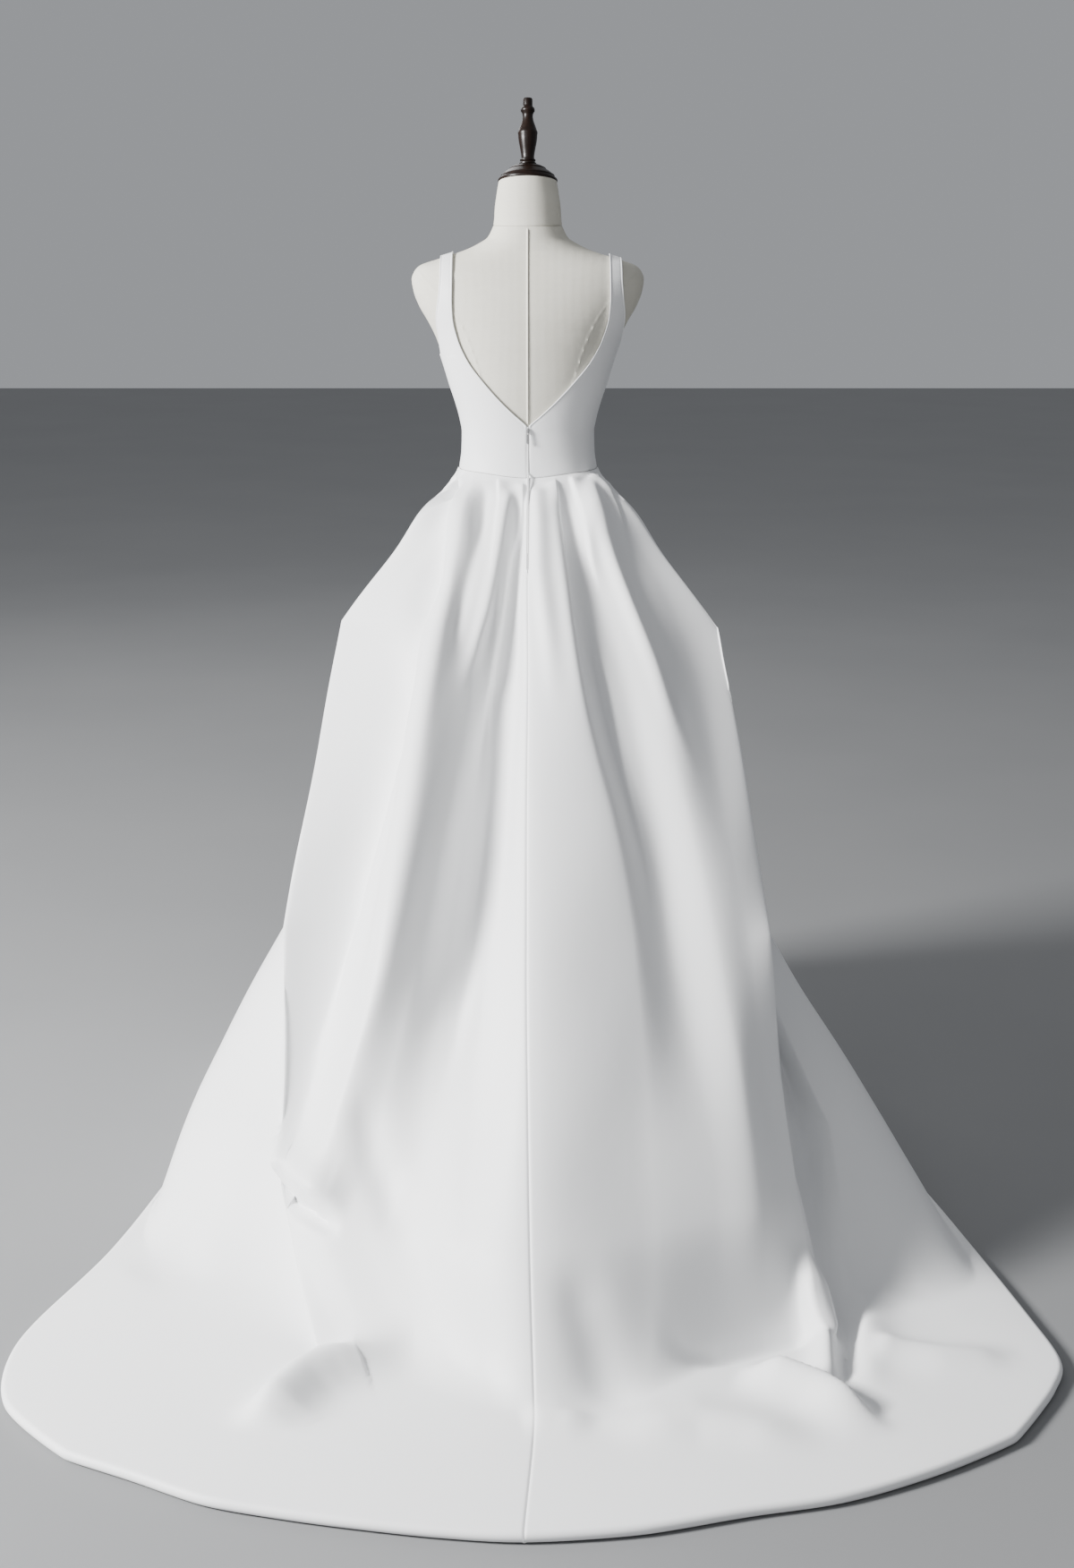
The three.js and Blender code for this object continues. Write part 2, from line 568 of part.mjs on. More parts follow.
function formTorso() {
  const heights = column(BODY, "z");
  return node("form_torso", loft(heights.map((z) => ringAt(z, bodyPoint))), linen());
}

// The neck narrows upwards and ends on a plane that leans forward.
function formNeck() {
  const profile = [
    { z: NECK_SEAM_Z + SEAM_GAP, half: 58, back: 52, front: 48 },
    { z: 1546, half: 56.5, back: 50, front: 49 },
    { z: 1562, half: 55.5, back: 49, front: 50 },
    { z: 1584, half: 52.5, back: 48.5, front: 50 },
    { z: NECK_TOP_Z, half: 49, back: 48, front: 49 },
  ];
  const rings = profile.map((row) => ringAt(row.z, (angle) => {
    const [s, c] = [Math.sin(radians(angle)), Math.cos(radians(angle))];
    const y = (c >= 0 ? row.back : row.front) * c;
    const lean = (row.z - profile[0].z) / (NECK_TOP_Z - profile[0].z);
    return new THREE.Vector3(row.half * s, y, row.z + lean * y * Math.tan(NECK_TILT));
  }));
  return node("form_neck", loft(rings), linen());
}

function lathe(profile, segments) {
  const points = profile.map(([radius, height]) => new THREE.Vector2(radius, height));
  return new THREE.LatheGeometry(points, segments).rotateX(Math.PI / 2);
}

// Turned wooden cap and finial, leaning with the top of the neck.
function neckTop() {
  const { radius, rim, height, top } = CAP;
  const cap = [[0, 0], [radius - 1, 0], [radius, 1], [radius, rim], [radius - 5, rim + 3]];
  for (let k = 1; k <= 5; k += 1) {
    const share = k / 5;
    cap.push([mix(radius - 5, top, share), mix(rim + 3, height, Math.sin((share * Math.PI) / 2))]);
  }
  cap.push([0, height]);
  const finial = [
    [0, 0], [14, 0], [14.5, 2.5], [12, 5], [13.2, 8], [11, 11], [11.5, 19], [15, 37],
    [16, 50], [16.5, 55], [15, 61], [11, 71], [8.6, 80], [9.2, 86], [11.8, 90], [11.6, 94],
    [8.4, 97], [8, 99], [8, 110], [0, 111],
  ];
  const group = new THREE.Group();
  const turned = node("neck_cap", lathe(cap, 28), wood());
  const spindle = node("finial", lathe(finial, 20), wood());
  turned.position.z = SEAM_GAP;
  spindle.position.z = 2 * SEAM_GAP + height;
  group.add(turned, spindle);
  group.position.z = NECK_TOP_Z;
  group.rotation.x = NECK_TILT;
  return group;
}

function stand() {
  const { radius, height, bossRadius, bossHeight } = BASE;
  const base = lathe([[0, 0], [radius - 3, 0], [radius, 3], [radius, height - 4], [radius - 6, height],
    [bossRadius + 8, height + 4], [bossRadius, height + 10], [bossRadius - 4, bossHeight],
    [0, bossHeight]], 28);
  const start = bossHeight + SEAM_GAP;
  const end = FORM_BOTTOM_Z - SEAM_GAP;
  const pole = lathe([[0, start], [POLE_RADIUS, start], [POLE_RADIUS, end], [0, end]], 20);
  return [node("stand_base", base, enamel()), node("stand_pole", pole, steel())];
}

// ---- assembly -----------------------------------------------------------------------------
const gown = new THREE.Group();
gown.add(...stand(), formTorso(), formNeck(), neckTop());
for (const side of ["left", "right"]) {
  gown.add(bodiceHalf(side, false), bodiceHalf(side, true));
}
gown.add(...skirt(), zipCoil(), zipSlider(), zipPull());

export default gown;
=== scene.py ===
"""Wedding gown on a limbless dress form.

Sizes in the tables are in millimetres; every mesh is in metres, in the frame's own axes: +Z up,
the wearer faces -Y, the train runs out towards +Y and the wearer's left is +X.
"""
import math

import bpy
import numpy as np
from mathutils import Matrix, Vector


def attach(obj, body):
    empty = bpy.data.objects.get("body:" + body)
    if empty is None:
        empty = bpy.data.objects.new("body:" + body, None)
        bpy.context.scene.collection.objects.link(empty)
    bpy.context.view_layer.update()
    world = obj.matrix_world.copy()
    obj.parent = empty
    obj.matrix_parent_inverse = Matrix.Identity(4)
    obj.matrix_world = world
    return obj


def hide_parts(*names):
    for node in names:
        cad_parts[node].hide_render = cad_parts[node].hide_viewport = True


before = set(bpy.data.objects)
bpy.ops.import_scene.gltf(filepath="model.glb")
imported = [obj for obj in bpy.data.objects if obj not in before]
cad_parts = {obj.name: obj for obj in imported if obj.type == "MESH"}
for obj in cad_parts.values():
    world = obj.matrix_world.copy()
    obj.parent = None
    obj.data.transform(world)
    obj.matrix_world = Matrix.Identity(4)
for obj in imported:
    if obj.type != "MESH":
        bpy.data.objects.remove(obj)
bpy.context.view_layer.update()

MM = 0.001
PI = math.pi

# ---- sizes of the gown --------------------------------------------------------------------
CLOTH = 2.0                 # wall of the satin
SEAM_GAP = 0.3
EASE = 1.9                  # from the form's cover to the inside of the bodice
LIFT = EASE + CLOTH
WAIST_Z = 1128.0
V_POINT_Z = 1207.0
FRONT_V_Z = 1300.0
SIDE_TOP_Z = 1322.0
RIDGE_Z = 1446.0
NECK_SEAM_Z = 1534.0
SECTION_POWER = 2.2
HEM_ROLL = 8.0              # radius of the rolled hem
HEM_TURN = (78, -95)        # angles that the roll starts and ends at
HEM_STEPS = 13
HEM_TUCK = 18.0             # depth of cloth turned under past the roll
TRAIN_Z = 17.0
LOWEST = 5.0                # no crease on the floor sinks below this height
WAIST_DROP = 9.0            # how far the waist seam hangs lower at the middle of the back
ZIP_WIDTH = 2.6
ZIP_END_Z = 1000.0
CLOTH_EDGE = 50             # angles in degrees, past which an edge stays sharp
COVER_EDGE = 40
HARD_EDGE = 40
TURNED_EDGE = 38

# Body that the bodice is cut to: height, half width, depth to the back, depth to the front.
BODY = np.array([
    (790, 126, 92, 90), (812, 140, 104, 100), (860, 149, 112, 105), (920, 148, 112, 103),
    (980, 140, 105, 97), (1040, 128, 93, 91), (1090, 118, 82, 86), (1128, 115, 78, 86),
    (1157, 111, 76, 88), (1190, 110, 78, 94), (1214, 114, 82, 101), (1240, 121, 87, 111),
    (1270, 131, 92, 119), (1300, 140, 96, 122), (1325, 148, 99, 118), (1350, 157, 101, 110),
    (1376, 170, 101, 101), (1402, 185, 98, 91), (1426, 194, 92, 80), (1446, 197, 84, 69),
    (1458, 193, 78, 61), (1468, 184, 71, 55), (1480, 150, 64, 51), (1487, 127, 61, 49),
    (1495, 104, 58, 48), (1504, 85, 56, 47), (1515, 68, 54, 47), (1534, 58, 52, 48)], float)

# Necklines and armholes: height and width from the middle.
BACK_NECK = [(1207, 0), (1225, 21), (1250, 47), (1282, 76), (1314, 101), (1350, 119),
             (1388, 129), (1420, 131), (1446, 131)]
BACK_ARM = [(1322, 147), (1350, 152), (1388, 157), (1420, 154), (1446, 152)]
FRONT_NECK = [(1300, 0), (1322, 38), (1350, 74), (1380, 101), (1420, 124), (1446, 131)]
FRONT_ARM = [(1322, 147), (1350, 150), (1380, 153), (1420, 154), (1446, 152)]
STRAP_SHIFT = {"left": -6.0, "right": 5.0}

# Fold lines of the skirt, from the left side seam round the back to the right side seam.
# waist is an angle from the middle of the back; then x, y at hip, knee and shin height, where
# the fold meets the floor, and at the hem; crisp keeps corners, tight pinches the fold.
FOLD_COLUMNS = ("name", "waist", "hip", "knee", "shin", "foot", "hem", "crisp", "tight")
FOLDS = [
    ("side_left", 90, (212, -12), (335, -5), (455, 30), (505, 55), (530, 60), 0, 0),
    ("flare_left", 78, (208, 62), (352, 240), (527, 545), (600, 690), (632, 735), 0, 0),
    ("panel_left", 70, (205, 95), (325, 345), (446, 630), (535, 830), (716, 1060), 0, 0),
    ("valley_left", 65, (196, 108), (290, 400), (300, 700), (320, 930), (695, 1200), 0, 0.2),
    ("edge_left", 61, (312, 190), (371, 640), (360, 876), (274, 1128), (592, 1325), 1, 0.7),
    ("hollow_left", 56, (170, 312), (256, 610), (345, 893), (240, 1142), (500, 1376), 0, 0),
    ("crest_left", 48, (138, 384), (208, 770), (300, 936), (196, 1158), (400, 1432), 0, 0.2),
    ("tuck_left", 34, (84, 378), (160, 752), (226, 957), (140, 1178), (300, 1462), 0, 0),
    ("second_left", 21, (52, 362), (112, 716), (160, 982), (95, 1205), (205, 1484), 0, 0),
    ("trough_left", 8, (22, 346), (58, 702), (92, 1042), (48, 1228), (100, 1503), 0, 0),
    ("centre", 0, (0, 388), (0, 800), (-6, 1098), (-12, 1255), (0, 1512), 0, 0),
    ("crest_right", -15, (-70, 404), (-160, 754), (-178, 1030), (-165, 1195), (-140, 1497),
     0, 0.2),
    ("trough_right", -29, (-112, 350), (-214, 708), (-270, 985), (-268, 1108), (-275, 1458),
     0, 0),
    ("second_right", -43, (-186, 356), (-288, 712), (-335, 952), (-345, 1062), (-400, 1425),
     0, 0.1),
    ("hollow_right", -54, (-254, 296), (-334, 690), (-374, 900), (-402, 1046), (-530, 1360),
     0, 0),
    ("edge_right", -61, (-315, 262), (-370, 674), (-393, 872), (-434, 1055), (-640, 1283),
     1, 0.7),
    ("valley_right", -65, (-196, 108), (-290, 370), (-425, 570), (-456, 965), (-705, 1180),
     0, 0.2),
    ("lip_right", -68, (-201, 100), (-316, 350), (-472, 645), (-494, 890), (-720, 1150), 1, 0.5),
    ("panel_right", -72, (-206, 88), (-328, 305), (-514, 648), (-612, 912), (-738, 1100), 0, 0),
    ("flare_right", -80, (-210, 50), (-332, 215), (-550, 600), (-672, 850), (-722, 960), 0, 0),
    ("side_right", -90, (-212, -12), (-335, -5), (-458, 40), (-520, 75), (-548, 80), 0, 0),
]
# Plain front: half widths and depths of its ellipse at each height, and its flutes.
FRONT_SIZES = ((212, 178), (335, 300), (456, 395), (512, 446), (538, 470))
FRONT_FOLDS = 9
FRONT_FLUTE = 0.045
# Waist, hip, knee, shin, foot and hem: shares of the way down, and heights.
LEVEL_AT = np.array([0, 0.22, 0.48, 0.7, 0.85, 1.0])
LEVEL_Z = np.array([WAIST_Z - SEAM_GAP, 894, 500, 180, TRAIN_Z + 2, TRAIN_Z])


# ---- small maths --------------------------------------------------------------------------
def smooth_through(knots, values, at):
    """Smooth curve through values at knots that never overshoots; values run on axis 0."""
    knots = np.asarray(knots, float)
    values = np.asarray(values, float)
    at = np.clip(np.asarray(at, float), knots[0], knots[-1])
    shape = (-1,) + (1,) * (values.ndim - 1)
    spans = np.diff(knots)
    steps = np.diff(values, axis=0) / spans.reshape(shape)
    slopes = np.empty_like(values)
    slopes[0], slopes[-1] = steps[0], steps[-1]
    before, after = steps[:-1], steps[1:]
    total = np.where(np.abs(before + after) < 1e-9, 1.0, before + after)
    slopes[1:-1] = np.where(before * after <= 0, 0.0, 2 * before * after / total)
    index = np.clip(np.searchsorted(knots, at, side="right") - 1, 0, len(knots) - 2)
    extra = (1,) * (values.ndim - 1)
    t = ((at - knots[index]) / spans[index]).reshape(at.shape + extra)
    span = spans[index].reshape(at.shape + extra)
    t2, t3 = t * t, t * t * t
    return ((2 * t3 - 3 * t2 + 1) * values[index] + (t3 - 2 * t2 + t) * span * slopes[index]
            + (3 * t2 - 2 * t3) * values[index + 1] + (t3 - t2) * span * slopes[index + 1])


def straight_through(knots, values, at):
    """Straight runs between the values at knots; values run on axis 0."""
    values = np.asarray(values, float)
    index = np.clip(np.searchsorted(knots, at, side="right") - 1, 0, len(knots) - 2)
    t = (at - knots[index]) / (knots[index + 1] - knots[index])
    t = t.reshape(t.shape + (1,) * (values.ndim - 1))
    return values[index] * (1 - t) + values[index + 1] * t


def unit(v):
    return v / np.maximum(np.linalg.norm(v, axis=-1, keepdims=True), 1e-12)


def ramp(x, low, high):
    """0 below low, 1 above high, smooth between."""
    t = np.clip((np.asarray(x, float) - low) / (high - low), 0, 1)
    return t * t * (3 - 2 * t)


def hump(x, centre, width):
    """1 at centre, fading to nothing about two widths away."""
    return np.exp(-((np.asarray(x, float) - centre) / width) ** 2)


# ---- the body that the gown is cut to -----------------------------------------------------
def body_size(column, z):
    return smooth_through(BODY[:, 0], BODY[:, column], z)


def body_point(angle, z):
    """angle: 0 at the middle of the back, 90 at the wearer's left, 180 at the front."""
    angle, z = np.broadcast_arrays(np.asarray(angle, float), np.asarray(z, float))
    s, c = np.sin(np.radians(angle)), np.cos(np.radians(angle))
    power = 2 / SECTION_POWER
    depth = np.where(c >= 0, body_size(2, z), body_size(3, z))
    x = body_size(1, z) * np.sign(s) * np.abs(s) ** power
    y = depth * np.sign(c) * np.abs(c) ** power
    return np.stack([x, y, z], axis=-1)


def body_normal(angle, z):
    """Outward normal of the body, from points a few degrees and millimetres either way."""
    turn, rise = 4.0, 4.0
    across = body_point(angle + turn, z) - body_point(angle - turn, z)
    up = body_point(angle, z + rise) - body_point(angle, z - rise)
    return unit(np.cross(up, across))


def angle_at(x, z):
    """Angle on the body, from the middle, of the point at width x."""
    share = np.minimum(np.abs(x) / body_size(1, z), 1)
    return np.degrees(np.arcsin(share ** (SECTION_POWER / 2)))


RIDGE_SAMPLES = np.linspace(RIDGE_Z, NECK_SEAM_Z, 400)
RIDGE_HALVES = body_size(1, RIDGE_SAMPLES)


def shoulder_height(x, angle):
    """Height on the shoulder's slope where the body's outline passes x at this angle."""
    half = x / np.sin(np.radians(angle)) ** (2 / SECTION_POWER)
    return np.interp(-half, -RIDGE_HALVES, RIDGE_SAMPLES)


# ---- making pieces ------------------------------------------------------------------------
def only(piece):
    bpy.ops.object.select_all(action="DESELECT")
    piece.select_set(True)
    bpy.context.view_layer.objects.active = piece


def apply_modifiers(piece):
    only(piece)
    for modifier in list(piece.modifiers):
        bpy.ops.object.modifier_apply(modifier=modifier.name)


def sheet_from(name, points):
    """A grid of quads laid on points[row, column], in millimetres, with its UVs in metres."""
    rows, columns = points.shape[:2]
    bpy.ops.object.select_all(action="DESELECT")
    bpy.ops.mesh.primitive_grid_add(x_subdivisions=columns - 1, y_subdivisions=rows - 1, size=2)
    piece = bpy.context.object
    piece.name = piece.data.name = name
    mesh = piece.data
    flat = np.empty(len(mesh.vertices) * 3)
    mesh.vertices.foreach_get("co", flat)
    flat = flat.reshape(-1, 3)
    across = np.rint((flat[:, 0] + 1) / 2 * (columns - 1)).astype(int)
    down = np.rint((1 - flat[:, 1]) / 2 * (rows - 1)).astype(int)
    mesh.vertices.foreach_set("co", (points[down, across] * MM).ravel())
    loops = np.empty(len(mesh.loops), dtype=np.int32)
    mesh.loops.foreach_get("vertex_index", loops)
    wide = np.linalg.norm(np.diff(points, axis=1), axis=-1).sum(axis=1).mean() * MM
    deep = np.linalg.norm(np.diff(points, axis=0), axis=-1).sum(axis=0).mean() * MM
    uv = np.stack([across[loops] / (columns - 1) * wide,
                   (1 - down[loops] / (rows - 1)) * deep], axis=-1)
    mesh.uv_layers[0].data.foreach_set("uv", uv.ravel().astype(np.float32))
    mesh.update()
    return piece


def thicken(piece):
    """Gives a sheet of satin its wall, inwards."""
    modifier = piece.modifiers.new("wall", "SOLIDIFY")
    modifier.thickness = CLOTH * MM
    modifier.offset = -1
    modifier.use_even_offset = False
    modifier.use_quality_normals = True
    apply_modifiers(piece)
    only(piece)
    bpy.ops.object.shade_smooth_by_angle(angle=math.radians(CLOTH_EDGE))


def away_from_axis(place):
    """Direction away from the gown's upright axis and a little upwards."""
    rise = 0.3
    return Vector((place.x, place.y, rise))


def face_outwards(piece):
    """Flips the sheet if its faces, weighed by area, look towards the gown's axis."""
    total = sum(away_from_axis(p.center).dot(p.normal) * p.area for p in piece.data.polygons)
    if total < 0:
        only(piece)
        bpy.ops.object.mode_set(mode="EDIT")
        bpy.ops.mesh.select_all(action="SELECT")
        bpy.ops.mesh.flip_normals()
        bpy.ops.object.mode_set(mode="OBJECT")


# ---- skirt --------------------------------------------------------------------------------
def fold_lines():
    """Routes of every fold line: waist angle, then five plan points, crispness and tightness."""
    rows = [dict(zip(FOLD_COLUMNS, fold)) for fold in FOLDS]
    for k in range(1, FRONT_FOLDS):
        angle = -90 - 180 * k / FRONT_FOLDS
        swell = 1 + FRONT_FLUTE * (-1 if k % 2 else 1)
        s, c = math.sin(math.radians(angle)), math.cos(math.radians(angle))
        route = [(width * s * swell, depth * c * swell) for width, depth in FRONT_SIZES]
        rows.append(dict(zip(FOLD_COLUMNS, ["front", angle, *route, 0, 0])))
    return rows


LINES = fold_lines()
CENTRE = [line["name"] for line in LINES].index("centre")
RIGHT_SIDE = len(FOLDS) - 1


def line_points(at):
    """Points of all fold lines at the shares at: array of lines, shares, 3."""
    plans = []
    for line in LINES:
        waist = body_point(line["waist"], WAIST_Z) + LIFT * body_normal(line["waist"], WAIST_Z)
        route = np.array([waist[:2], line["hip"], line["knee"], line["shin"], line["foot"],
                          line["hem"]], float)
        soft = smooth_through(LEVEL_AT, route, at)
        hard = straight_through(LEVEL_AT, route, at)
        plans.append(soft * (1 - line["crisp"]) + hard * line["crisp"])
    plans = np.array(plans)
    height = np.broadcast_to(smooth_through(LEVEL_AT, LEVEL_Z, at), plans.shape[:2])
    return np.concatenate([plans, height[..., None]], axis=-1)


def skirt_points(across, at):
    """Points at every pair of a fold-line count (across) and a share of the way down (at)."""
    lines = line_points(at)
    count = len(LINES)
    tight = np.array([line["tight"] for line in LINES], float)
    index = np.floor(across + 1e-9).astype(int)
    t = (across - index)[:, None, None]
    p0, p1, p2, p3 = (lines[(index + k) % count] for k in (-1, 0, 1, 2))
    gap = [np.sqrt(np.linalg.norm(b - a, axis=-1, keepdims=True)) + 1e-3
           for a, b in ((p0, p1), (p1, p2), (p2, p3))]

    def tangent(a, b, c, before, after, pinch):
        slope = (b - a) / before - (c - a) / (before + after) + (c - b) / after
        return slope * gap[1] * (1 - pinch[:, None, None])

    m1 = tangent(p0, p1, p2, gap[0], gap[1], tight[index % count])
    m2 = tangent(p1, p2, p3, gap[1], gap[2], tight[(index + 1) % count])
    t2, t3 = t * t, t * t * t
    found = ((2 * t3 - 3 * t2 + 1) * p1 + (t3 - 2 * t2 + t) * m1
             + (3 * t2 - 2 * t3) * p2 + (t3 - t2) * m2)
    return found.transpose(1, 0, 2)


def sheet_normals(points):
    """Outward normals of a sheet whose columns run clockwise seen from above."""
    across = np.gradient(points, axis=1)
    down = np.gradient(points, axis=0)
    return unit(np.cross(down, across))


WAVE_SEED = 7
WAVE_LENGTHS = (620, 430, 300, 210, 150)
WAVE_PER_MM = 430           # length of the wave that is 1 mm deep


def waves(points):
    """Slow unevenness of stiff satin, a few millimetres deep, from a handful of long waves."""
    draw = np.random.default_rng(WAVE_SEED)
    total = np.zeros(points.shape[:-1])
    for length in WAVE_LENGTHS:
        direction = unit(draw.normal(size=3))
        phase = draw.uniform(0, 2 * PI)
        total += np.sin(points @ direction * (2 * PI / length) + phase) * length / WAVE_PER_MM
    return total


# ---- details on the skirt -----------------------------------------------------------------
# Pleats and creases drawn on the cloth: the view they are drawn in, height, reach on the left
# and right of the line as it runs, how much of each end fades, and the line itself, in x, z for
# wall and front, y, z for left and right, and x, y for floor. A negative height makes a hollow,
# and a short reach makes a knife edge.
CREASES = [
    ("wall", -5, 16, 12, (0.1, 0.4), [(122, 1114), (150, 1062), (186, 1005), (225, 950)]),
    ("wall", -19, 26, 10, (0.06, 0.35), [(120, 1117), (128, 1100), (139, 1056), (148, 1013),
                                         (156, 965), (170, 918), (196, 872)]),
    ("wall", -18, 46, 20, (0.25, 0.45), [(165, 905), (182, 850), (204, 750), (236, 640),
                                         (270, 540), (304, 450)]),
    ("wall", 20, 10, 44, (0.15, 0.3), [(136, 975), (146, 930), (164, 850), (178, 748), (203, 638),
                                       (236, 510), (284, 385), (330, 290)]),
    ("wall", -13, 44, 15, (0.2, 0.3), [(26, 960), (34, 870), (46, 770), (56, 690), (66, 600),
                                       (80, 500), (108, 390), (140, 300)]),
    ("wall", 8, 9, 13, (0.08, 0.5), [(105, 1112), (118, 1050), (128, 975), (140, 893), (157, 815),
                                  (172, 739), (196, 640)]),
    ("wall", -6, 12, 13, (0.08, 0.35), [(68, 1115), (82, 1033), (100, 970), (114, 910),
                                         (118, 843)]),
    ("wall", 5, 3, 15, (0.02, 0.7), [(49, 1124), (47, 1086), (55, 1030), (64, 960)]),
    ("wall", 9, 12, 11, (0.08, 0.35), [(29, 1112), (50, 1013), (68, 932), (84, 881), (109, 820)]),
    ("wall", 6, 16, 3, (0.02, 0.6), [(3, 1122), (14, 1063), (28, 1002), (38, 927), (44, 843),
                                     (64, 690)]),
    ("wall", -11, 11, 13, (0.08, 0.5), [(9, 1110), (19, 1008), (29, 927), (38, 843), (60, 768),
                                        (84, 629)]),
    ("wall", 8, 12, 16, (0.05, 0.5), [(-14, 1118), (-18, 1060), (-20, 992), (-33, 900),
                                      (-45, 796)]),
    ("wall", 6, 14, 3, (0.02, 0.6), [(-45, 1124), (-55, 1056), (-68, 970), (-82, 875),
                                     (-100, 780)]),
    ("wall", -6, 14, 15, (0.06, 0.5), [(-54, 1110), (-66, 1033), (-86, 927), (-108, 843),
                                        (-130, 768), (-160, 669), (-190, 540)]),
    ("wall", 7, 6, 24, (0.3, 0.5), [(-86, 975), (-95, 943), (-132, 824), (-159, 699),
                                    (-187, 589), (-205, 500)]),
    ("wall", 7, 3, 14, (0.02, 0.5), [(-72, 1124), (-92, 1063), (-107, 997), (-124, 945)]),
    ("wall", 8, 13, 10, (0.06, 0.5), [(-96, 1120), (-127, 1030), (-164, 949), (-203, 861),
                                       (-228, 787), (-269, 699)]),
    ("wall", -5, 12, 22, (0.08, 0.5), [(-128, 1100), (-150, 1040), (-186, 950), (-228, 875),
                                        (-268, 800)]),
    ("wall", 5, 12, 3, (0.02, 0.5), [(-108, 1124), (-137, 1089), (-156, 1040), (-175, 1000)]),
    ("wall", 22, 11, 34, (0.02, 0.5), [(376, 206), (330, 200), (285, 190), (250, 176)]),
    ("wall", -22, 10, 7, (0.02, 0.4), [(380, 178), (350, 173), (316, 168), (262, 156)]),
    ("wall", -9, 24, 30, (0.3, 0.4), [(245, 340), (222, 240), (194, 185), (140, 160)]),
    ("floor", 42, 26, 44, (0.25, 0.4), [(354, 1292), (345, 1236), (306, 1164), (272, 1132),
                                        (232, 1106), (150, 1098)]),
    ("floor", -7, 34, 34, (0.3, 0.4), [(-46, 1080), (-91, 1150), (-141, 1251)]),
    ("floor", -12, 14, 16, (0.45, 0.15), [(-175, 1112), (-230, 1110), (-280, 1092), (-343, 1058),
                                          (-415, 1030)]),
    ("floor", 36, 20, 44, (0.25, 0.4), [(-290, 1124), (-350, 1146), (-400, 1186), (-432, 1230),
                                        (-480, 1305)]),
    ("floor", 24, 12, 24, (0.2, 0.2), [(-398, 930), (-428, 1040), (-418, 1130), (-403, 1178)]),
    ("floor", -16, 18, 18, (0.1, 0.2), [(-425, 600), (-440, 800), (-460, 960), (-452, 1090),
                                        (-442, 1200)]),
    ("floor", 14, 36, 12, (0.5, 0.3), [(-500, 860), (-490, 960), (-476, 1045), (-458, 1100),
                                       (-450, 1195)]),
    ("floor", 15, 26, 42, (0.15, 0.3), [(-480, 1056), (-579, 1086), (-700, 1092)]),
    ("floor", 13, 50, 42, (0.3, 0.3), [(-100, 1296), (-139, 1281), (-228, 1254), (-294, 1275),
                                       (-390, 1335)]),
    ("floor", 9, 22, 40, (0.3, 0.4), [(10, 1252), (-40, 1246), (-100, 1262)]),
    ("floor", -7, 60, 60, (0.4, 0.4), [(600, 850), (540, 815), (470, 790)]),
    ("front", 6, 14, 3, (0.02, 0.6), [(34, 1124), (48, 1056), (60, 960)]),
    ("front", 6, 3, 14, (0.02, 0.6), [(-31, 1124), (-44, 1062), (-58, 985)]),
    ("front", 5, 13, 3, (0.02, 0.6), [(70, 1124), (94, 1050), (120, 950)]),
    ("front", 5, 3, 12, (0.02, 0.6), [(-66, 1124), (-92, 1044), (-126, 930)]),
    ("front", -10, 14, 16, (0.08, 0.5), [(44, 1112), (66, 980), (92, 790), (110, 560)]),
    ("front", -11, 16, 14, (0.08, 0.5), [(-40, 1112), (-64, 960), (-96, 740), (-128, 470)]),
    ("front", -9, 16, 16, (0.08, 0.5), [(82, 1110), (128, 960), (190, 740), (238, 520)]),
    ("front", -10, 14, 20, (0.08, 0.5), [(-78, 1110), (-128, 950), (-182, 760), (-226, 600)]),
    ("front", 7, 16, 20, (0.1, 0.5), [(8, 1112), (14, 960), (22, 700), (30, 430)]),
    ("left", -9, 16, 16, (0.08, 0.5), [(-22, 1112), (-36, 960), (-60, 720), (-90, 450)]),
    ("left", 8, 14, 18, (0.08, 0.5), [(8, 1112), (22, 960), (60, 700), (110, 420)]),
    ("left", -9, 16, 20, (0.08, 0.5), [(34, 1110), (76, 930), (150, 640), (250, 330)]),
    ("right", -10, 16, 16, (0.08, 0.5), [(-26, 1112), (-40, 940), (-62, 730), (-84, 500)]),
    ("right", 8, 18, 14, (0.08, 0.5), [(4, 1112), (14, 960), (44, 720), (90, 460)]),
    ("right", -9, 18, 18, (0.08, 0.5), [(36, 1110), (70, 950), (140, 680), (230, 400)]),
]


def beside(flat, route):
    """Signed distance of flat points from a route, plus on the route's left as it runs, and
    how far along it the nearest point lies, from 0 to 1."""
    route = np.array(route, float)
    spans = np.linalg.norm(np.diff(route, axis=0), axis=1)
    starts = np.concatenate([[0], np.cumsum(spans)]) / spans.sum()
    best = np.full(flat.shape[:-1], 1e9)
    signed, along = np.zeros_like(best), np.zeros_like(best)
    for k, (a, b) in enumerate(zip(route, route[1:])):
        step = (b - a) / spans[k]
        offset = flat - a
        t = np.clip(offset @ step, 0, spans[k])
        away = np.linalg.norm(offset - t[..., None] * step, axis=-1)
        side = np.sign(step[0] * offset[..., 1] - step[1] * offset[..., 0])
        nearer = away < best
        best = np.where(nearer, away, best)
        signed = np.where(nearer, away * side, signed)
        along = np.where(nearer, starts[k] + t / spans.sum(), along)
    return signed, along


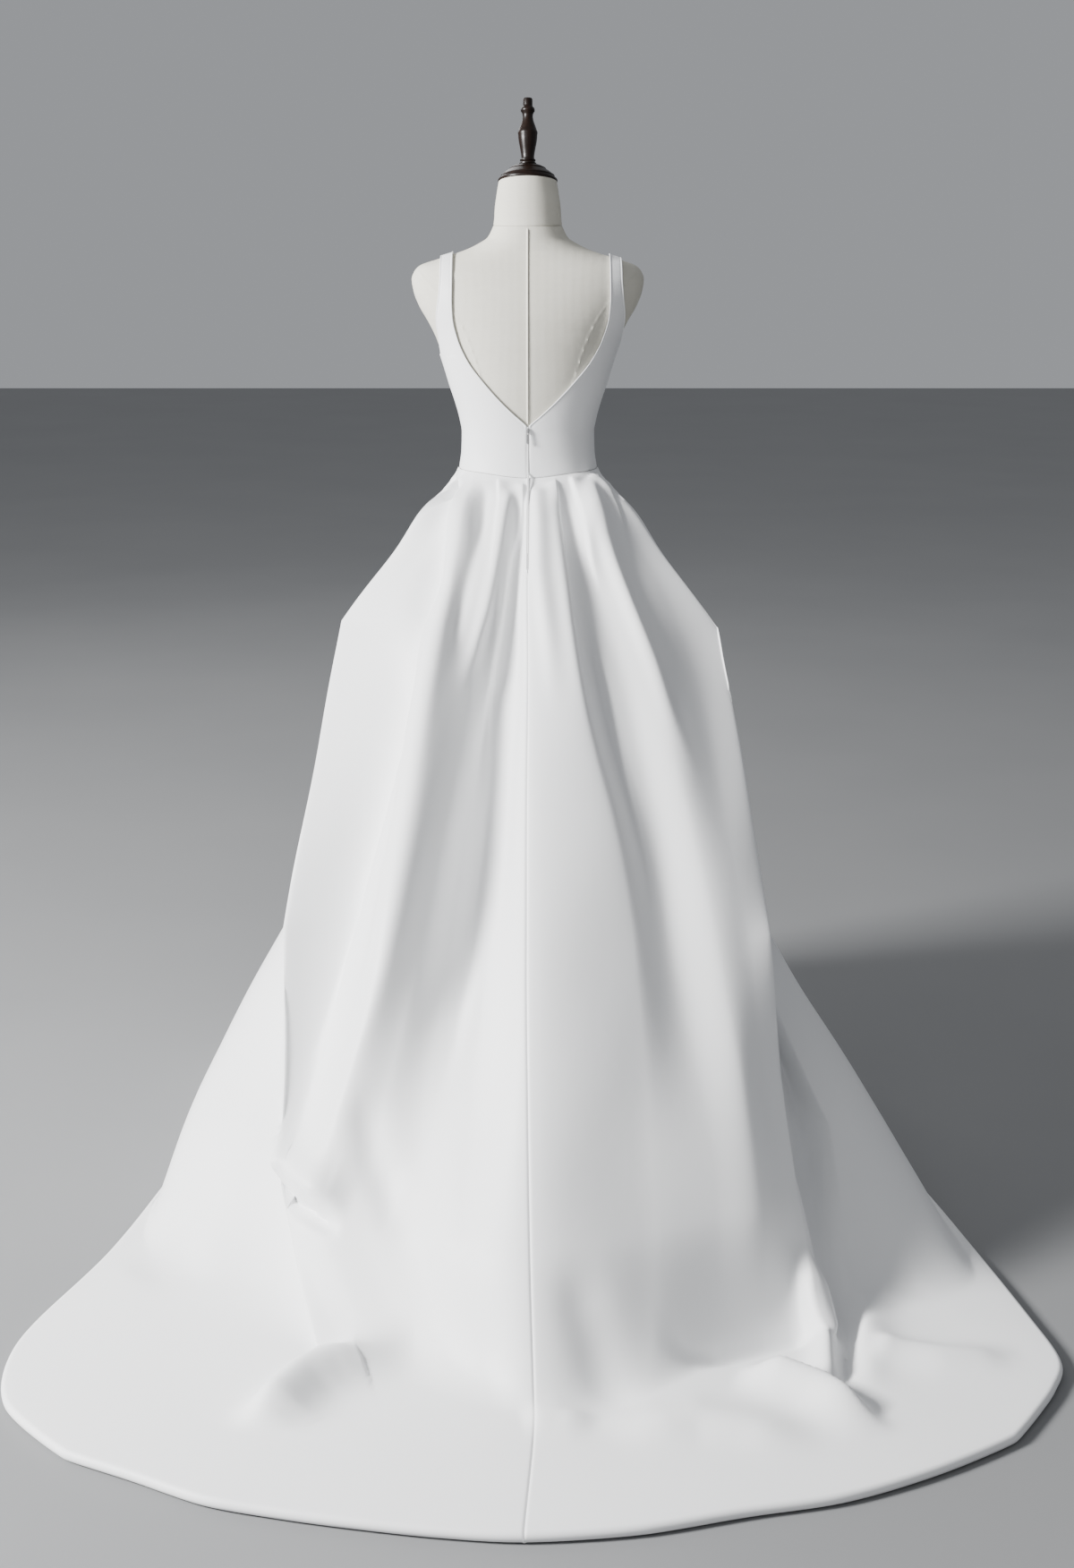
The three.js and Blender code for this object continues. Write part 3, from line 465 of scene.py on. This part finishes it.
def creases(points, normals):
    """How far each point is moved along its normal by the pleats and creases."""
    total = np.zeros(points.shape[:-1])
    x, y, z = (points[..., k] for k in range(3))
    views = {"wall": (x, z, ramp(normals[..., 1], 0, 0.22)),
             "front": (x, z, ramp(-normals[..., 1], 0, 0.3) * (y < 0)),
             "left": (y, z, ramp(normals[..., 0], 0.2, 0.5) * (y < 420)),
             "right": (y, z, ramp(-normals[..., 0], 0.2, 0.5) * (y < 420)),
             "floor": (x, y, 1 - ramp(z, 110, 230))}
    # Fullness under the waist seam, over the hips and behind.
    fullness, fullest_z, reach = 15, 1062, 46
    swell = fullness * hump(z, fullest_z, reach) * (1 - ramp(z, 1104, 1127))
    total += swell * ramp(np.abs(x), 70, 112) * ramp(y, -60, 20)
    # Nothing is creased at the waist seam or along the zip.
    beside_zip = np.maximum(ramp(np.abs(x), 1, 9), 1 - ramp(z, 940, ZIP_END_Z))
    below_seam = (1 - ramp(z, 1116, 1127)) * beside_zip
    for place, height, left, right, (first, last), route in CREASES:
        across, along_axis, where = views[place]
        signed, along = beside(np.stack([across, along_axis], axis=-1), route)
        reach = np.where(signed > 0, left, right)
        fade = ramp(along, 0, first + 1e-3) * (1 - ramp(along, 1 - last, 1.001))
        total += height * np.exp(-(signed / reach) ** 2) * fade * where * below_seam
    return total


def waist_dip(points):
    """Lowers the waist seam at the middle of the back, with the cloth close to it."""
    near = 1 - ramp(np.abs(points[..., 2] - WAIST_Z), 0, 60)
    points[..., 2] -= WAIST_DROP * hump(points[..., 0], 0, 68) * near * (points[..., 1] > 0)


def skirt_rows():
    """Shares of the way down of the fine rows: close at the waist, the floor and the hem."""
    stops = [(0, 0.1, 34), (0.1, 0.22, 26), (0.22, 0.66, 56), (0.66, 0.86, 46), (0.86, 1, 34)]
    shares = [0.0]
    for low, high, count in stops:
        shares += list(np.linspace(low, high, count + 1)[1:])
    return np.array(shares)


def hem_rows(points, normals_out):
    """Rows that roll the hem down and under, onto the floor."""
    rows = []
    edge = points[-1]
    for turn in np.linspace(*HEM_TURN, HEM_STEPS):
        s, c = math.sin(math.radians(turn)), math.cos(math.radians(turn))
        row = edge + normals_out * HEM_ROLL * c
        row[:, 2] = edge[:, 2] + HEM_ROLL * (s - 1)
        rows.append(row)
    rows.append(rows[-1] - normals_out * HEM_TUCK)
    return np.array(rows)


def skirt_panel(name, start, end, per_fold, edges):
    """One skirt panel between two fold lines; edges gives each side's distance from its seam's
    middle at any height."""
    near_seam = np.array([0.005, 0.012, 0.022, 0.036])
    across = np.unique(np.concatenate([np.linspace(start, end, (end - start) * per_fold + 1),
                                       start + near_seam, end - near_seam]))
    at = skirt_rows()
    points = skirt_points(across, at)
    normals = sheet_normals(points)
    depth = ramp(at, 0.05, 0.3) * (1 - 0.75 * ramp(at, 0.8, 1))
    steps = np.linalg.norm(np.diff(points, axis=1), axis=-1)
    run = np.concatenate([np.zeros((len(at), 1)), np.cumsum(steps, axis=1)], axis=1)
    from_seam = np.minimum(run, run[:, -1:] - run)
    turned_in = -1.3 * hump(from_seam, 0, 1.8)
    lift = waves(points) * depth[:, None] * 1.2 + turned_in * ramp(at, 0, 0.02)[:, None]
    lift = lift + creases(points, normals) * (1 - ramp(at, 0.93, 0.99))[:, None]
    points = points + normals * lift[..., None]
    points[..., 2] = np.maximum(points[..., 2], LOWEST)
    waist_dip(points)
    for column, inner, gap in ((0, 1, edges[0]), (-1, -2, edges[1])):
        slide = points[:, inner] - points[:, column]
        if across[column] == CENTRE:
            size = np.abs(slide[:, :1])
        else:
            size = np.linalg.norm(slide, axis=-1, keepdims=True)
        points[:, column] += slide / np.maximum(size, 1e-6) * gap(points[:, column, 2])[:, None]
    step, hem = 0.05, np.array([1.0])
    around = skirt_points(across + step, hem)[0] - skirt_points(across - step, hem)[0]
    out = unit(np.stack([around[:, 1], -around[:, 0], np.zeros(len(across))], axis=-1))
    points = np.concatenate([points, hem_rows(points, out)], axis=0)
    piece = sheet_from(name, points)
    face_outwards(piece)
    thicken(piece)
    return piece


def sewn(z):
    """Distance of a panel's edge from the middle of a plain seam."""
    return np.full(np.shape(z), SEAM_GAP / 2)


def zipped(z):
    """Distance of a panel's edge from the middle of the back: beside the zip, sewn below it."""
    return np.where(z > ZIP_END_Z - 10, ZIP_WIDTH / 2 + SEAM_GAP, SEAM_GAP / 2)


# ---- bodice -------------------------------------------------------------------------------
def table_at(table, z):
    heights, widths = zip(*table)
    return smooth_through(heights, widths, z)


# Columns close to each edge of a bodice half, in millimetres from the edge.
EDGE_LANES = np.array([0, 0.5, 1, 1.5, 2, 2.6, 3.3, 4.2, 5.5])
MIDDLE_LANES = 34
SIDE_RADIUS = 120.0         # about the bodice's radius at the side seams
SHOULDER_RADIUS = 55.0      # about the straps' radius at the shoulder seams
CHORD_TO_ARC = 1.08         # how much longer the cloth is than the chord between its edges


def lane_shares(width):
    """Shares of the width where a row's columns lie, closer together at both edges."""
    first = EDGE_LANES / width
    last = 1 - EDGE_LANES[::-1] / width
    middle = np.linspace(first[-1], last[0], MIDDLE_LANES + 2)[1:-1]
    return np.concatenate([first, middle, last])


def chord(inner, outer, z):
    return np.linalg.norm(body_point(inner, z) - body_point(outer, z))


def bodice_heights(open_from):
    """Heights of a bodice half's rows below the ridge of the shoulder."""
    above_waist = WAIST_Z + 6
    return np.concatenate([np.linspace(WAIST_Z, above_waist, 5)[:-1],
                           np.linspace(above_waist, open_from - 0.1, 26),
                           np.linspace(open_from + 1, SIDE_TOP_Z - 0.1, 34),
                           np.linspace(SIDE_TOP_Z, RIDGE_Z, 36)])


def bodice_half(side, front):
    """One half of the front or back bodice with its strap, which runs on up to the shoulder
    seam."""
    neck_table, arm_table = (FRONT_NECK, FRONT_ARM) if front else (BACK_NECK, BACK_ARM)
    open_from = FRONT_V_Z if front else V_POINT_Z
    middle_gap = (SEAM_GAP if front else ZIP_WIDTH + 2 * SEAM_GAP) / 2
    side_seam = 90 - math.degrees(SEAM_GAP / 2 / SIDE_RADIUS)
    shoulder_seam = 90 - math.degrees(SEAM_GAP / 2 / SHOULDER_RADIUS)

    def limits(z):
        """Angles of the edge near the middle and the edge near the side."""
        shift = STRAP_SHIFT[side] * ramp(z, open_from, RIDGE_Z)
        neck = np.where(z > open_from, table_at(neck_table, z) + shift, 0)
        inner = angle_at(np.maximum(neck, middle_gap), z)
        arm = np.minimum(angle_at(table_at(arm_table, z) + shift, z), side_seam)
        return float(inner), float(np.where(z < SIDE_TOP_Z, side_seam, arm))

    rows, lanes = [], []
    for z in bodice_heights(open_from):
        inner, outer = limits(np.array(z))
        width = chord(inner, outer, z) * CHORD_TO_ARC
        shares = lane_shares(width)
        angle = inner + (outer - inner) * shares
        rows.append((angle, np.full_like(angle, z)))
        lanes.append(np.minimum(shares, 1) * width)
    inner, outer = limits(np.array(RIDGE_Z))
    width = chord(inner, outer, RIDGE_Z)
    shares = lane_shares(width)
    ridge = inner + (outer - inner) * shares
    x = body_size(1, RIDGE_Z) * np.sin(np.radians(ridge)) ** (2 / SECTION_POWER)
    for share in np.linspace(0, 1, 31)[1:]:
        angle = ridge + (shoulder_seam - ridge) * share
        rows.append((angle, shoulder_height(x, angle)))
        lanes.append(shares * width)
    angles = np.array([row[0] for row in rows])
    zs = np.array([row[1] for row in rows])
    around = (1 if side == "left" else -1) * (180 - angles if front else angles)
    near = np.array(lanes)
    far = near.max(axis=1, keepdims=True) - near
    open_neck = ramp(zs, open_from - 6, open_from + 2)
    open_arm = ramp(zs, SIDE_TOP_Z - 4, SIDE_TOP_Z + 4)
    # A turned edge is raised, with a stitched hollow behind it, and a seam's edge is turned in.
    lift = LIFT + np.zeros_like(zs)
    lift += open_neck * (0.9 * hump(near, 1.2, 0.9) - 0.5 * hump(near, 3.4, 0.8))
    lift += open_arm * (0.5 * hump(far, 1.2, 1.0) - 0.3 * hump(far, 3.4, 0.8))
    lift -= (1 - open_neck) * 0.8 * hump(near, 0, 1.2) + (1 - open_arm) * 0.7 * hump(far, 0, 1.0)
    lift -= 0.7 * hump(zs, WAIST_Z, 1.2) * (zs < 1140)
    points = body_point(around, zs) + body_normal(around, zs) * lift[..., None]
    waist_dip(points)
    piece = sheet_from(f"satin_bodice_{'front' if front else 'back'}_{side}", points[::-1])
    face_outwards(piece)
    thicken(piece)
    return piece


# ---- dress form ---------------------------------------------------------------------------
def closed_loft(name, rings):
    """Closed body over a stack of rings, bottom first, in millimetres."""
    wrapped = np.concatenate([rings, rings[:, :1]], axis=1)
    piece = sheet_from(name, wrapped[::-1])
    only(piece)
    bpy.ops.object.mode_set(mode="EDIT")
    bpy.ops.mesh.select_all(action="SELECT")
    bpy.ops.mesh.remove_doubles(threshold=1e-6)
    bpy.ops.mesh.select_all(action="DESELECT")
    bpy.ops.mesh.select_non_manifold()
    bpy.ops.mesh.fill_holes(sides=0)
    bpy.ops.mesh.select_all(action="SELECT")
    bpy.ops.mesh.normals_make_consistent(inside=False)
    bpy.ops.object.mode_set(mode="OBJECT")
    bpy.ops.object.shade_smooth_by_angle(angle=math.radians(COVER_EDGE))
    return piece


# Raised seams of the cover: height and width from the middle, on the back and on the front.
BACK_SEAM = [(790, 62), (1000, 64), (1128, 46), (1207, 56), (1290, 80), (1317, 88), (1357, 103),
             (1389, 120), (1425, 151), (1458, 182)]
FRONT_SEAM = [(790, 60), (1000, 62), (1128, 48), (1207, 62), (1290, 76), (1340, 84), (1380, 100),
              (1425, 150), (1458, 180)]


CENTRE_CORD = (2.2, 1.3)    # height and half width of the seam cords
SIDE_CORD = (1.2, 1.1)


def seam_lift(angle, z, points):
    """Height of the cover's seam cords above its surface."""
    x = np.abs(points[..., 0])
    levels = np.unique(z)
    behind = np.cos(np.radians(angle)) >= 0
    high, wide = CENTRE_CORD
    lift = high * hump(x, 0, wide) * (z < NECK_SEAM_Z - 4)
    high, wide = SIDE_CORD
    for table, here in ((BACK_SEAM, behind), (FRONT_SEAM, ~behind)):
        steep = np.interp(z, levels, np.gradient(table_at(table, levels), levels))
        away = np.abs(x - table_at(table, z)) / np.sqrt(1 + steep ** 2)
        lift = lift + np.where(here & (z < table[-1][0] + 1), high * hump(away, 0, wide), 0)
    return lift


def form_torso():
    """The covered body, with columns close together at the cords of the middle seams."""
    close = np.array([0.15, 0.33, 0.5, 0.7, 0.9, 1.1, 1.5, 2.0])
    angles = np.unique(np.concatenate([np.linspace(0, 360, 289)[:-1], close, 180 - close,
                                       180 + close, 360 - close]))
    below_waist = WAIST_Z - 8
    heights = np.concatenate([np.linspace(BODY[0, 0], below_waist, 40)[:-1],
                              np.linspace(below_waist, RIDGE_Z, 130)[:-1],
                              np.linspace(RIDGE_Z, NECK_SEAM_Z, 50)])
    angle, z = np.meshgrid(angles, heights)
    points = body_point(angle, z)
    normals = body_normal(angle, z)
    points = points + normals * (seam_lift(angle, z, points) - 0.2)[..., None]
    return closed_loft("cover_torso", points)


# Height, half width, depth to the back and depth to the front.
NECK = np.array([(NECK_SEAM_Z + SEAM_GAP, 58, 52, 48), (1546, 56.5, 50, 49), (1562, 55.5, 49, 50),
                 (1584, 52.5, 48.5, 50), (1605, 49, 48, 49)])
NECK_FOOT_Z, NECK_TOP_Z = NECK[0, 0], NECK[-1, 0]
NECK_TILT = 0.22            # angle of the neck's top in radians


def form_neck():
    """The covered neck, with its top leaning forward and its foot tucked in at the seam."""
    angles = np.radians(np.linspace(0, 360, 181)[:-1])
    s, c = np.sin(angles), np.cos(angles)
    rings = []
    for z in np.linspace(NECK_FOOT_Z, NECK_TOP_Z, 48):
        half, back, front = smooth_through(NECK[:, 0], NECK[:, 1:], np.array([z]))[0]
        y = np.where(c >= 0, back, front) * c
        lean = (z - NECK_FOOT_Z) / (NECK_TOP_Z - NECK_FOOT_Z) * math.tan(NECK_TILT)
        tuck = 1 - 0.012 * math.exp(-((z - NECK_FOOT_Z) / 1.2) ** 2)
        rings.append(np.stack([half * s * tuck, y * tuck, z + lean * y], axis=-1))
    return closed_loft("cover_neck", np.array(rings))


def refined(node, name, bevel):
    """Copy of a small metal node with its edges rounded."""
    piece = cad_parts[node].copy()
    piece.data = piece.data.copy()
    piece.parent = None
    for key in list(piece.keys()):
        if key.startswith("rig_"):
            del piece[key]
    bpy.context.scene.collection.objects.link(piece)
    piece.name = piece.data.name = name
    only(piece)
    bpy.ops.object.mode_set(mode="EDIT")
    bpy.ops.mesh.select_all(action="SELECT")
    bpy.ops.mesh.remove_doubles(threshold=1e-6)
    bpy.ops.mesh.dissolve_limited(angle_limit=math.radians(1))
    bpy.ops.object.mode_set(mode="OBJECT")
    rounding = piece.modifiers.new("rounding", "BEVEL")
    rounding.width = bevel * MM
    rounding.segments = 3
    rounding.limit_method = "ANGLE"
    rounding.angle_limit = math.radians(35)
    apply_modifiers(piece)
    only(piece)
    bpy.ops.object.shade_smooth_by_angle(angle=math.radians(HARD_EDGE))
    return piece


# Turned profiles: radius and height above the top of the neck.
CAP_PROFILE = [(49, 0), (49.8, 0.8), (50, 2), (49.6, 4), (47.4, 5), (45.8, 6.4), (45, 8.4),
               (45.4, 9.4), (44.8, 10.6), (42, 12.4), (37.4, 16.4), (31, 20.4), (30.4, 21),
               (30.8, 21.8), (30, 22.6), (23, 26.2), (17, 27.7), (15, 28)]
FINIAL_PROFILE = [(13.4, 0), (14.5, 1.2), (14.5, 2.8), (12.2, 4.6), (12, 5.4), (13.2, 7),
                  (13.2, 8.4), (11.2, 10), (10.8, 13), (11.4, 19), (13, 28), (15, 38), (15.9, 45),
                  (16.1, 50), (16.6, 52), (16.5, 55), (15.2, 57.6), (14.2, 61), (11.6, 68),
                  (9.6, 74), (8.6, 80), (8.8, 83.4), (9.6, 86.4), (11.6, 89), (11.9, 91.5),
                  (11.2, 94.4), (8.8, 96.4), (8.2, 98), (8, 100), (8, 108.6), (7.2, 110.6),
                  (5, 111)]


def turned(name, profile, base):
    """Stacks rings of the profile's radii along the leaning axis of the neck's top."""
    axis = Vector((0, -math.sin(NECK_TILT), math.cos(NECK_TILT)))
    foot = Vector((0, 0, NECK_TOP_Z * MM)) + axis * (base * MM)
    radius, height = profile[0]
    bpy.ops.object.select_all(action="DESELECT")
    bpy.ops.mesh.primitive_circle_add(vertices=96, radius=radius * MM, fill_type="NGON",
                                      location=foot + axis * (height * MM),
                                      rotation=(NECK_TILT, 0, 0))
    piece = bpy.context.object
    piece.name = piece.data.name = name
    bpy.ops.object.transform_apply(location=True, rotation=True, scale=True)
    bpy.ops.object.mode_set(mode="EDIT")
    bpy.ops.mesh.select_all(action="SELECT")
    for (before, low), (after, high) in zip(profile, profile[1:]):
        bpy.ops.mesh.extrude_region_move(
            TRANSFORM_OT_translate={"value": axis * ((high - low) * MM), "orient_type": "GLOBAL"})
        bpy.ops.transform.resize(value=(after / before,) * 3, orient_type="GLOBAL",
                                 center_override=foot + axis * (high * MM))
    bpy.ops.mesh.select_all(action="SELECT")
    bpy.ops.mesh.normals_make_consistent(inside=False)
    bpy.ops.object.mode_set(mode="OBJECT")
    bpy.ops.object.shade_smooth_by_angle(angle=math.radians(TURNED_EDGE))
    return piece


# ---- materials ----------------------------------------------------------------------------
EVEN = (1, 1, 1)            # coordinates that are stretched in no direction


class Socket:
    """A node's output that takes part in Python arithmetic by adding Math nodes."""

    def __init__(self, build, output):
        self.build, self.output = build, output

    def _math(self, operation, other):
        return self.build.node("ShaderNodeMath", {"operation": operation}, {0: self, 1: other})

    def __add__(self, other):
        return self._math("ADD", other)

    __radd__ = __add__

    def __mul__(self, other):
        return self._math("MULTIPLY", other)

    __rmul__ = __mul__


class Finish:
    """One material: node() adds any node, and set() sets or links the shader's inputs."""

    def __init__(self, name):
        self.material = bpy.data.materials.new(name)
        self.material.use_nodes = True
        self.tree = self.material.node_tree
        self.shader = next(n for n in self.tree.nodes if n.type == "BSDF_PRINCIPLED")

    def node(self, kind, settings=None, inputs=None, output=0):
        made = self.tree.nodes.new(kind)
        for key, value in (settings or {}).items():
            if key == "ramp":
                self.fill_ramp(made.color_ramp, value)
            else:
                setattr(made, key, value)
        for key, value in (inputs or {}).items():
            self.feed(made.inputs[key], value)
        return Socket(self, made.outputs[output])

    def fill_ramp(self, ramp_, stops):
        while len(ramp_.elements) < len(stops):
            ramp_.elements.new(0.5)
        for element, (place, colour) in zip(ramp_.elements, stops):
            element.position = place
            element.color = (*colour, 1)

    def feed(self, socket, value):
        if isinstance(value, Socket):
            self.tree.links.new(value.output, socket)
        else:
            socket.default_value = value

    def coordinates(self, scale, kind="Object"):
        output = ("Generated", "Normal", "UV", "Object").index(kind)
        where = self.node("ShaderNodeTexCoord", output=output)
        return self.node("ShaderNodeMapping", None, {"Vector": where, "Scale": scale})

    def noise(self, scale, size, detail, roughness=0.5):
        return self.node("ShaderNodeTexNoise", None, {
            "Vector": self.coordinates(scale), "Scale": size, "Detail": detail,
            "Roughness": roughness})

    def threads(self, direction, size, distortion, detail, kind="Object"):
        """Fine parallel bands, as the threads of a cloth."""
        return self.node(
            "ShaderNodeTexWave", {"wave_type": "BANDS", "bands_direction": direction},
            {"Vector": self.coordinates(EVEN, kind), "Scale": size, "Distortion": distortion,
             "Detail": detail})

    def blend_colours(self, factor, low, high):
        return self.node("ShaderNodeMix", {"data_type": "RGBA"},
                         {0: factor, 6: (*low, 1), 7: (*high, 1)}, output=2)

    def bump(self, height, distance, strength):
        return self.node("ShaderNodeBump", None, {
            "Height": height, "Distance": distance, "Strength": strength})

    def set(self, values):
        for key, value in values.items():
            self.feed(self.shader.inputs[key], value)
        return self.material


def satin_finish():
    f = Finish("white_mikado_satin")
    cloud = f.noise(EVEN, 5.0, 3)
    fine = f.noise(EVEN, 60.0, 4)
    warp = f.threads("DIAGONAL", 260.0, 0.6, 1.0, "UV")
    height = warp * 0.06 + fine * 0.3 + cloud * 2.0
    return f.set({"Base Color": f.blend_colours(cloud, (0.86, 0.865, 0.875), (0.90, 0.90, 0.895)),
                  "Roughness": 0.42 + fine * 0.12, "Normal": f.bump(height, 0.0009, 0.5),
                  "Sheen Weight": 0.12, "Sheen Roughness": 0.4, "Specular IOR Level": 0.35})


def linen_finish():
    f = Finish("cream_linen_cover")
    across = f.threads("Z", 190.0, 1.5, 2.0)
    along = f.threads("X", 190.0, 1.5, 2.0)
    slub = f.noise((1, 1, 4), 40.0, 4)
    cloud = f.noise(EVEN, 9.0, 3)
    shade = cloud * 0.6 + slub * 0.4
    height = across * 0.5 + along * 0.5 + slub * 0.6
    return f.set({"Base Color": f.blend_colours(shade, (0.60, 0.575, 0.49), (0.72, 0.70, 0.62)),
                  "Roughness": 0.78 + slub * 0.15, "Normal": f.bump(height, 0.0005, 0.6)})


def wood_finish():
    f = Finish("dark_turned_wood")
    grain = f.noise((9, 9, 1), 9.0, 5, roughness=0.65)
    pores = f.noise((60, 60, 6), 12.0, 2)
    stops = [(0.25, (0.003, 0.0015, 0.001)), (0.55, (0.008, 0.0035, 0.002)),
             (0.8, (0.02, 0.009, 0.005))]
    height = grain + pores * 0.4
    return f.set({"Base Color": f.node("ShaderNodeValToRGB", {"ramp": stops}, {0: grain}),
                  "Roughness": 0.28 + pores * 0.15, "Normal": f.bump(height, 0.0004, 0.4),
                  "Coat Weight": 0.05, "Coat Roughness": 0.18, "Specular IOR Level": 0.25})


def zip_finish():
    f = Finish("white_zip")
    wear = f.noise(EVEN, 900.0, 3)
    return f.set({"Base Color": f.blend_colours(wear, (0.74, 0.74, 0.74), (0.84, 0.84, 0.83)),
                  "Roughness": 0.25 + wear * 0.15})


def metal_finish():
    f = Finish("white_metal_slider")
    wear = f.noise(EVEN, 700.0, 3)
    return f.set({"Base Color": f.blend_colours(wear, (0.42, 0.42, 0.42), (0.6, 0.6, 0.6)),
                  "Roughness": 0.22 + wear * 0.15, "Metallic": 0.7})


def enamel_finish():
    f = Finish("pale_enamel")
    speck = f.noise(EVEN, 120.0, 3)
    return f.set({"Base Color": f.blend_colours(speck, (0.62, 0.62, 0.60), (0.68, 0.68, 0.66)),
                  "Roughness": 0.3 + speck * 0.12, "Normal": f.bump(speck, 0.0002, 0.4)})


def steel_finish():
    f = Finish("brushed_steel_pole")
    brush = f.noise((1, 1, 90), 30.0, 3)
    return f.set({"Base Color": f.blend_colours(brush, (0.5, 0.5, 0.5), (0.62, 0.62, 0.62)),
                  "Roughness": 0.25 + brush * 0.2, "Metallic": 1.0})


def floor_finish():
    f = Finish("pale_floor")
    cloud = f.noise(EVEN, 1.5, 3)
    return f.set({"Base Color": f.blend_colours(cloud, (0.20, 0.203, 0.207), (0.23, 0.232, 0.235)),
                  "Roughness": 0.6})


def dress_up(piece, material):
    piece.data.materials.clear()
    piece.data.materials.append(material)


# ---- studio -------------------------------------------------------------------------------
# Lamps: name, place, the point it faces, size in metres and power in watts.
LAMPS = [
    ("key", (4.2, 2.2, 2.9), (0, 0.4, 0.6), 1.3, 900),
    ("front", (1.6, 5.0, 3.6), (0, 0.5, 0.5), 2.0, 25),
    ("back", (1.5, -3.5, 3.4), (0, 0, 1.0), 2.5, 60),
]
SKY_COLOUR = (0.92, 0.95, 1.0, 1)
SKY_STRENGTH = 0.36
LENS = 52.95                # focal length and sensor, in millimetres
SENSOR = 36
EYE = (-0.0155, 4.0, 1.6)
DOWN_TILT = 0.254           # radians below the horizon


def studio():
    bpy.ops.mesh.primitive_plane_add(size=30, location=(0, 0, -0.0005))
    ground = bpy.context.object
    ground.name = "floor"
    dress_up(ground, floor_finish())
    world = bpy.data.worlds.new("studio")
    world.use_nodes = True
    sky = world.node_tree.nodes["Background"]
    sky.inputs["Color"].default_value = SKY_COLOUR
    sky.inputs["Strength"].default_value = SKY_STRENGTH
    bpy.context.scene.world = world
    for name, place, target, size, power in LAMPS:
        lamp = bpy.data.lights.new(name, "AREA")
        lamp.energy, lamp.size = power, size
        lit = bpy.data.objects.new(name, lamp)
        lit.location = place
        lit.rotation_euler = (Vector(target) - Vector(place)).to_track_quat("-Z", "Y").to_euler()
        bpy.context.scene.collection.objects.link(lit)


def camera():
    lens = bpy.data.cameras.new("camera")
    lens.lens = LENS
    lens.sensor_width = SENSOR
    eye = bpy.data.objects.new("camera", lens)
    eye.location = EYE
    eye.rotation_euler = (PI / 2 - DOWN_TILT, 0, PI)
    bpy.context.scene.collection.objects.link(eye)
    bpy.context.scene.camera = eye


# ---- assembly -----------------------------------------------------------------------------
# Panels of the skirt: name, the fold lines it runs between, and the seam at each edge.
SKIRT_PANELS = [
    ("back_left", 0, CENTRE, (sewn, zipped)),
    ("back_right", CENTRE, RIGHT_SIDE, (zipped, sewn)),
    ("front", RIGHT_SIDE, len(LINES), (sewn, sewn)),
]
COLUMNS_PER_FOLD = 18
# Cut of each piece of the gown in metres: width, length and flat area.
SKIRT_CUTS = {"back_left": (1.45, 2.05, 1.85), "back_right": (1.45, 2.05, 1.8),
              "front": (1.3, 1.26, 1.27)}
BODICE_CUTS = {"back": (0.2, 0.41, 0.037), "front": (0.21, 0.42, 0.05)}
# Heights of the turned pieces' undersides above the neck's top.
CAP_FOOT = SEAM_GAP
FINIAL_FOOT = CAP_FOOT + CAP_PROFILE[-1][1] + SEAM_GAP


def keep(piece, material, node, body="root"):
    dress_up(piece, material)
    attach(piece, body)
    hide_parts(node)


studio()
camera()
SATIN = satin_finish()
LINEN = linen_finish()
WOOD = wood_finish()
METAL = metal_finish()

for label, first, last, seams in SKIRT_PANELS:
    panel = skirt_panel(f"satin_skirt_{label}", first, last, COLUMNS_PER_FOLD, seams)
    keep(panel, SATIN, f"skirt_{label}")
    wide, long, flat_area = SKIRT_CUTS[label]

for which in ("left", "right"):
    for label, (wide, long, flat_area) in BODICE_CUTS.items():
        half = bodice_half(which, label == "front")
        keep(half, SATIN, f"bodice_{label}_{which}")

keep(form_torso(), LINEN, "form_torso")
keep(form_neck(), LINEN, "form_neck")
keep(turned("turned_cap", CAP_PROFILE, CAP_FOOT), WOOD, "neck_cap")
keep(turned("turned_finial", FINIAL_PROFILE, FINIAL_FOOT), WOOD, "finial")
keep(refined("zip_slider", "slider", 0.2), METAL, "zip_slider")
keep(refined("zip_pull", "pull", 0.18), METAL, "zip_pull", body="zip_pull")
dress_up(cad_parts["zip_coil"], zip_finish())
dress_up(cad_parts["stand_base"], enamel_finish())
dress_up(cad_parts["stand_pole"], steel_finish())
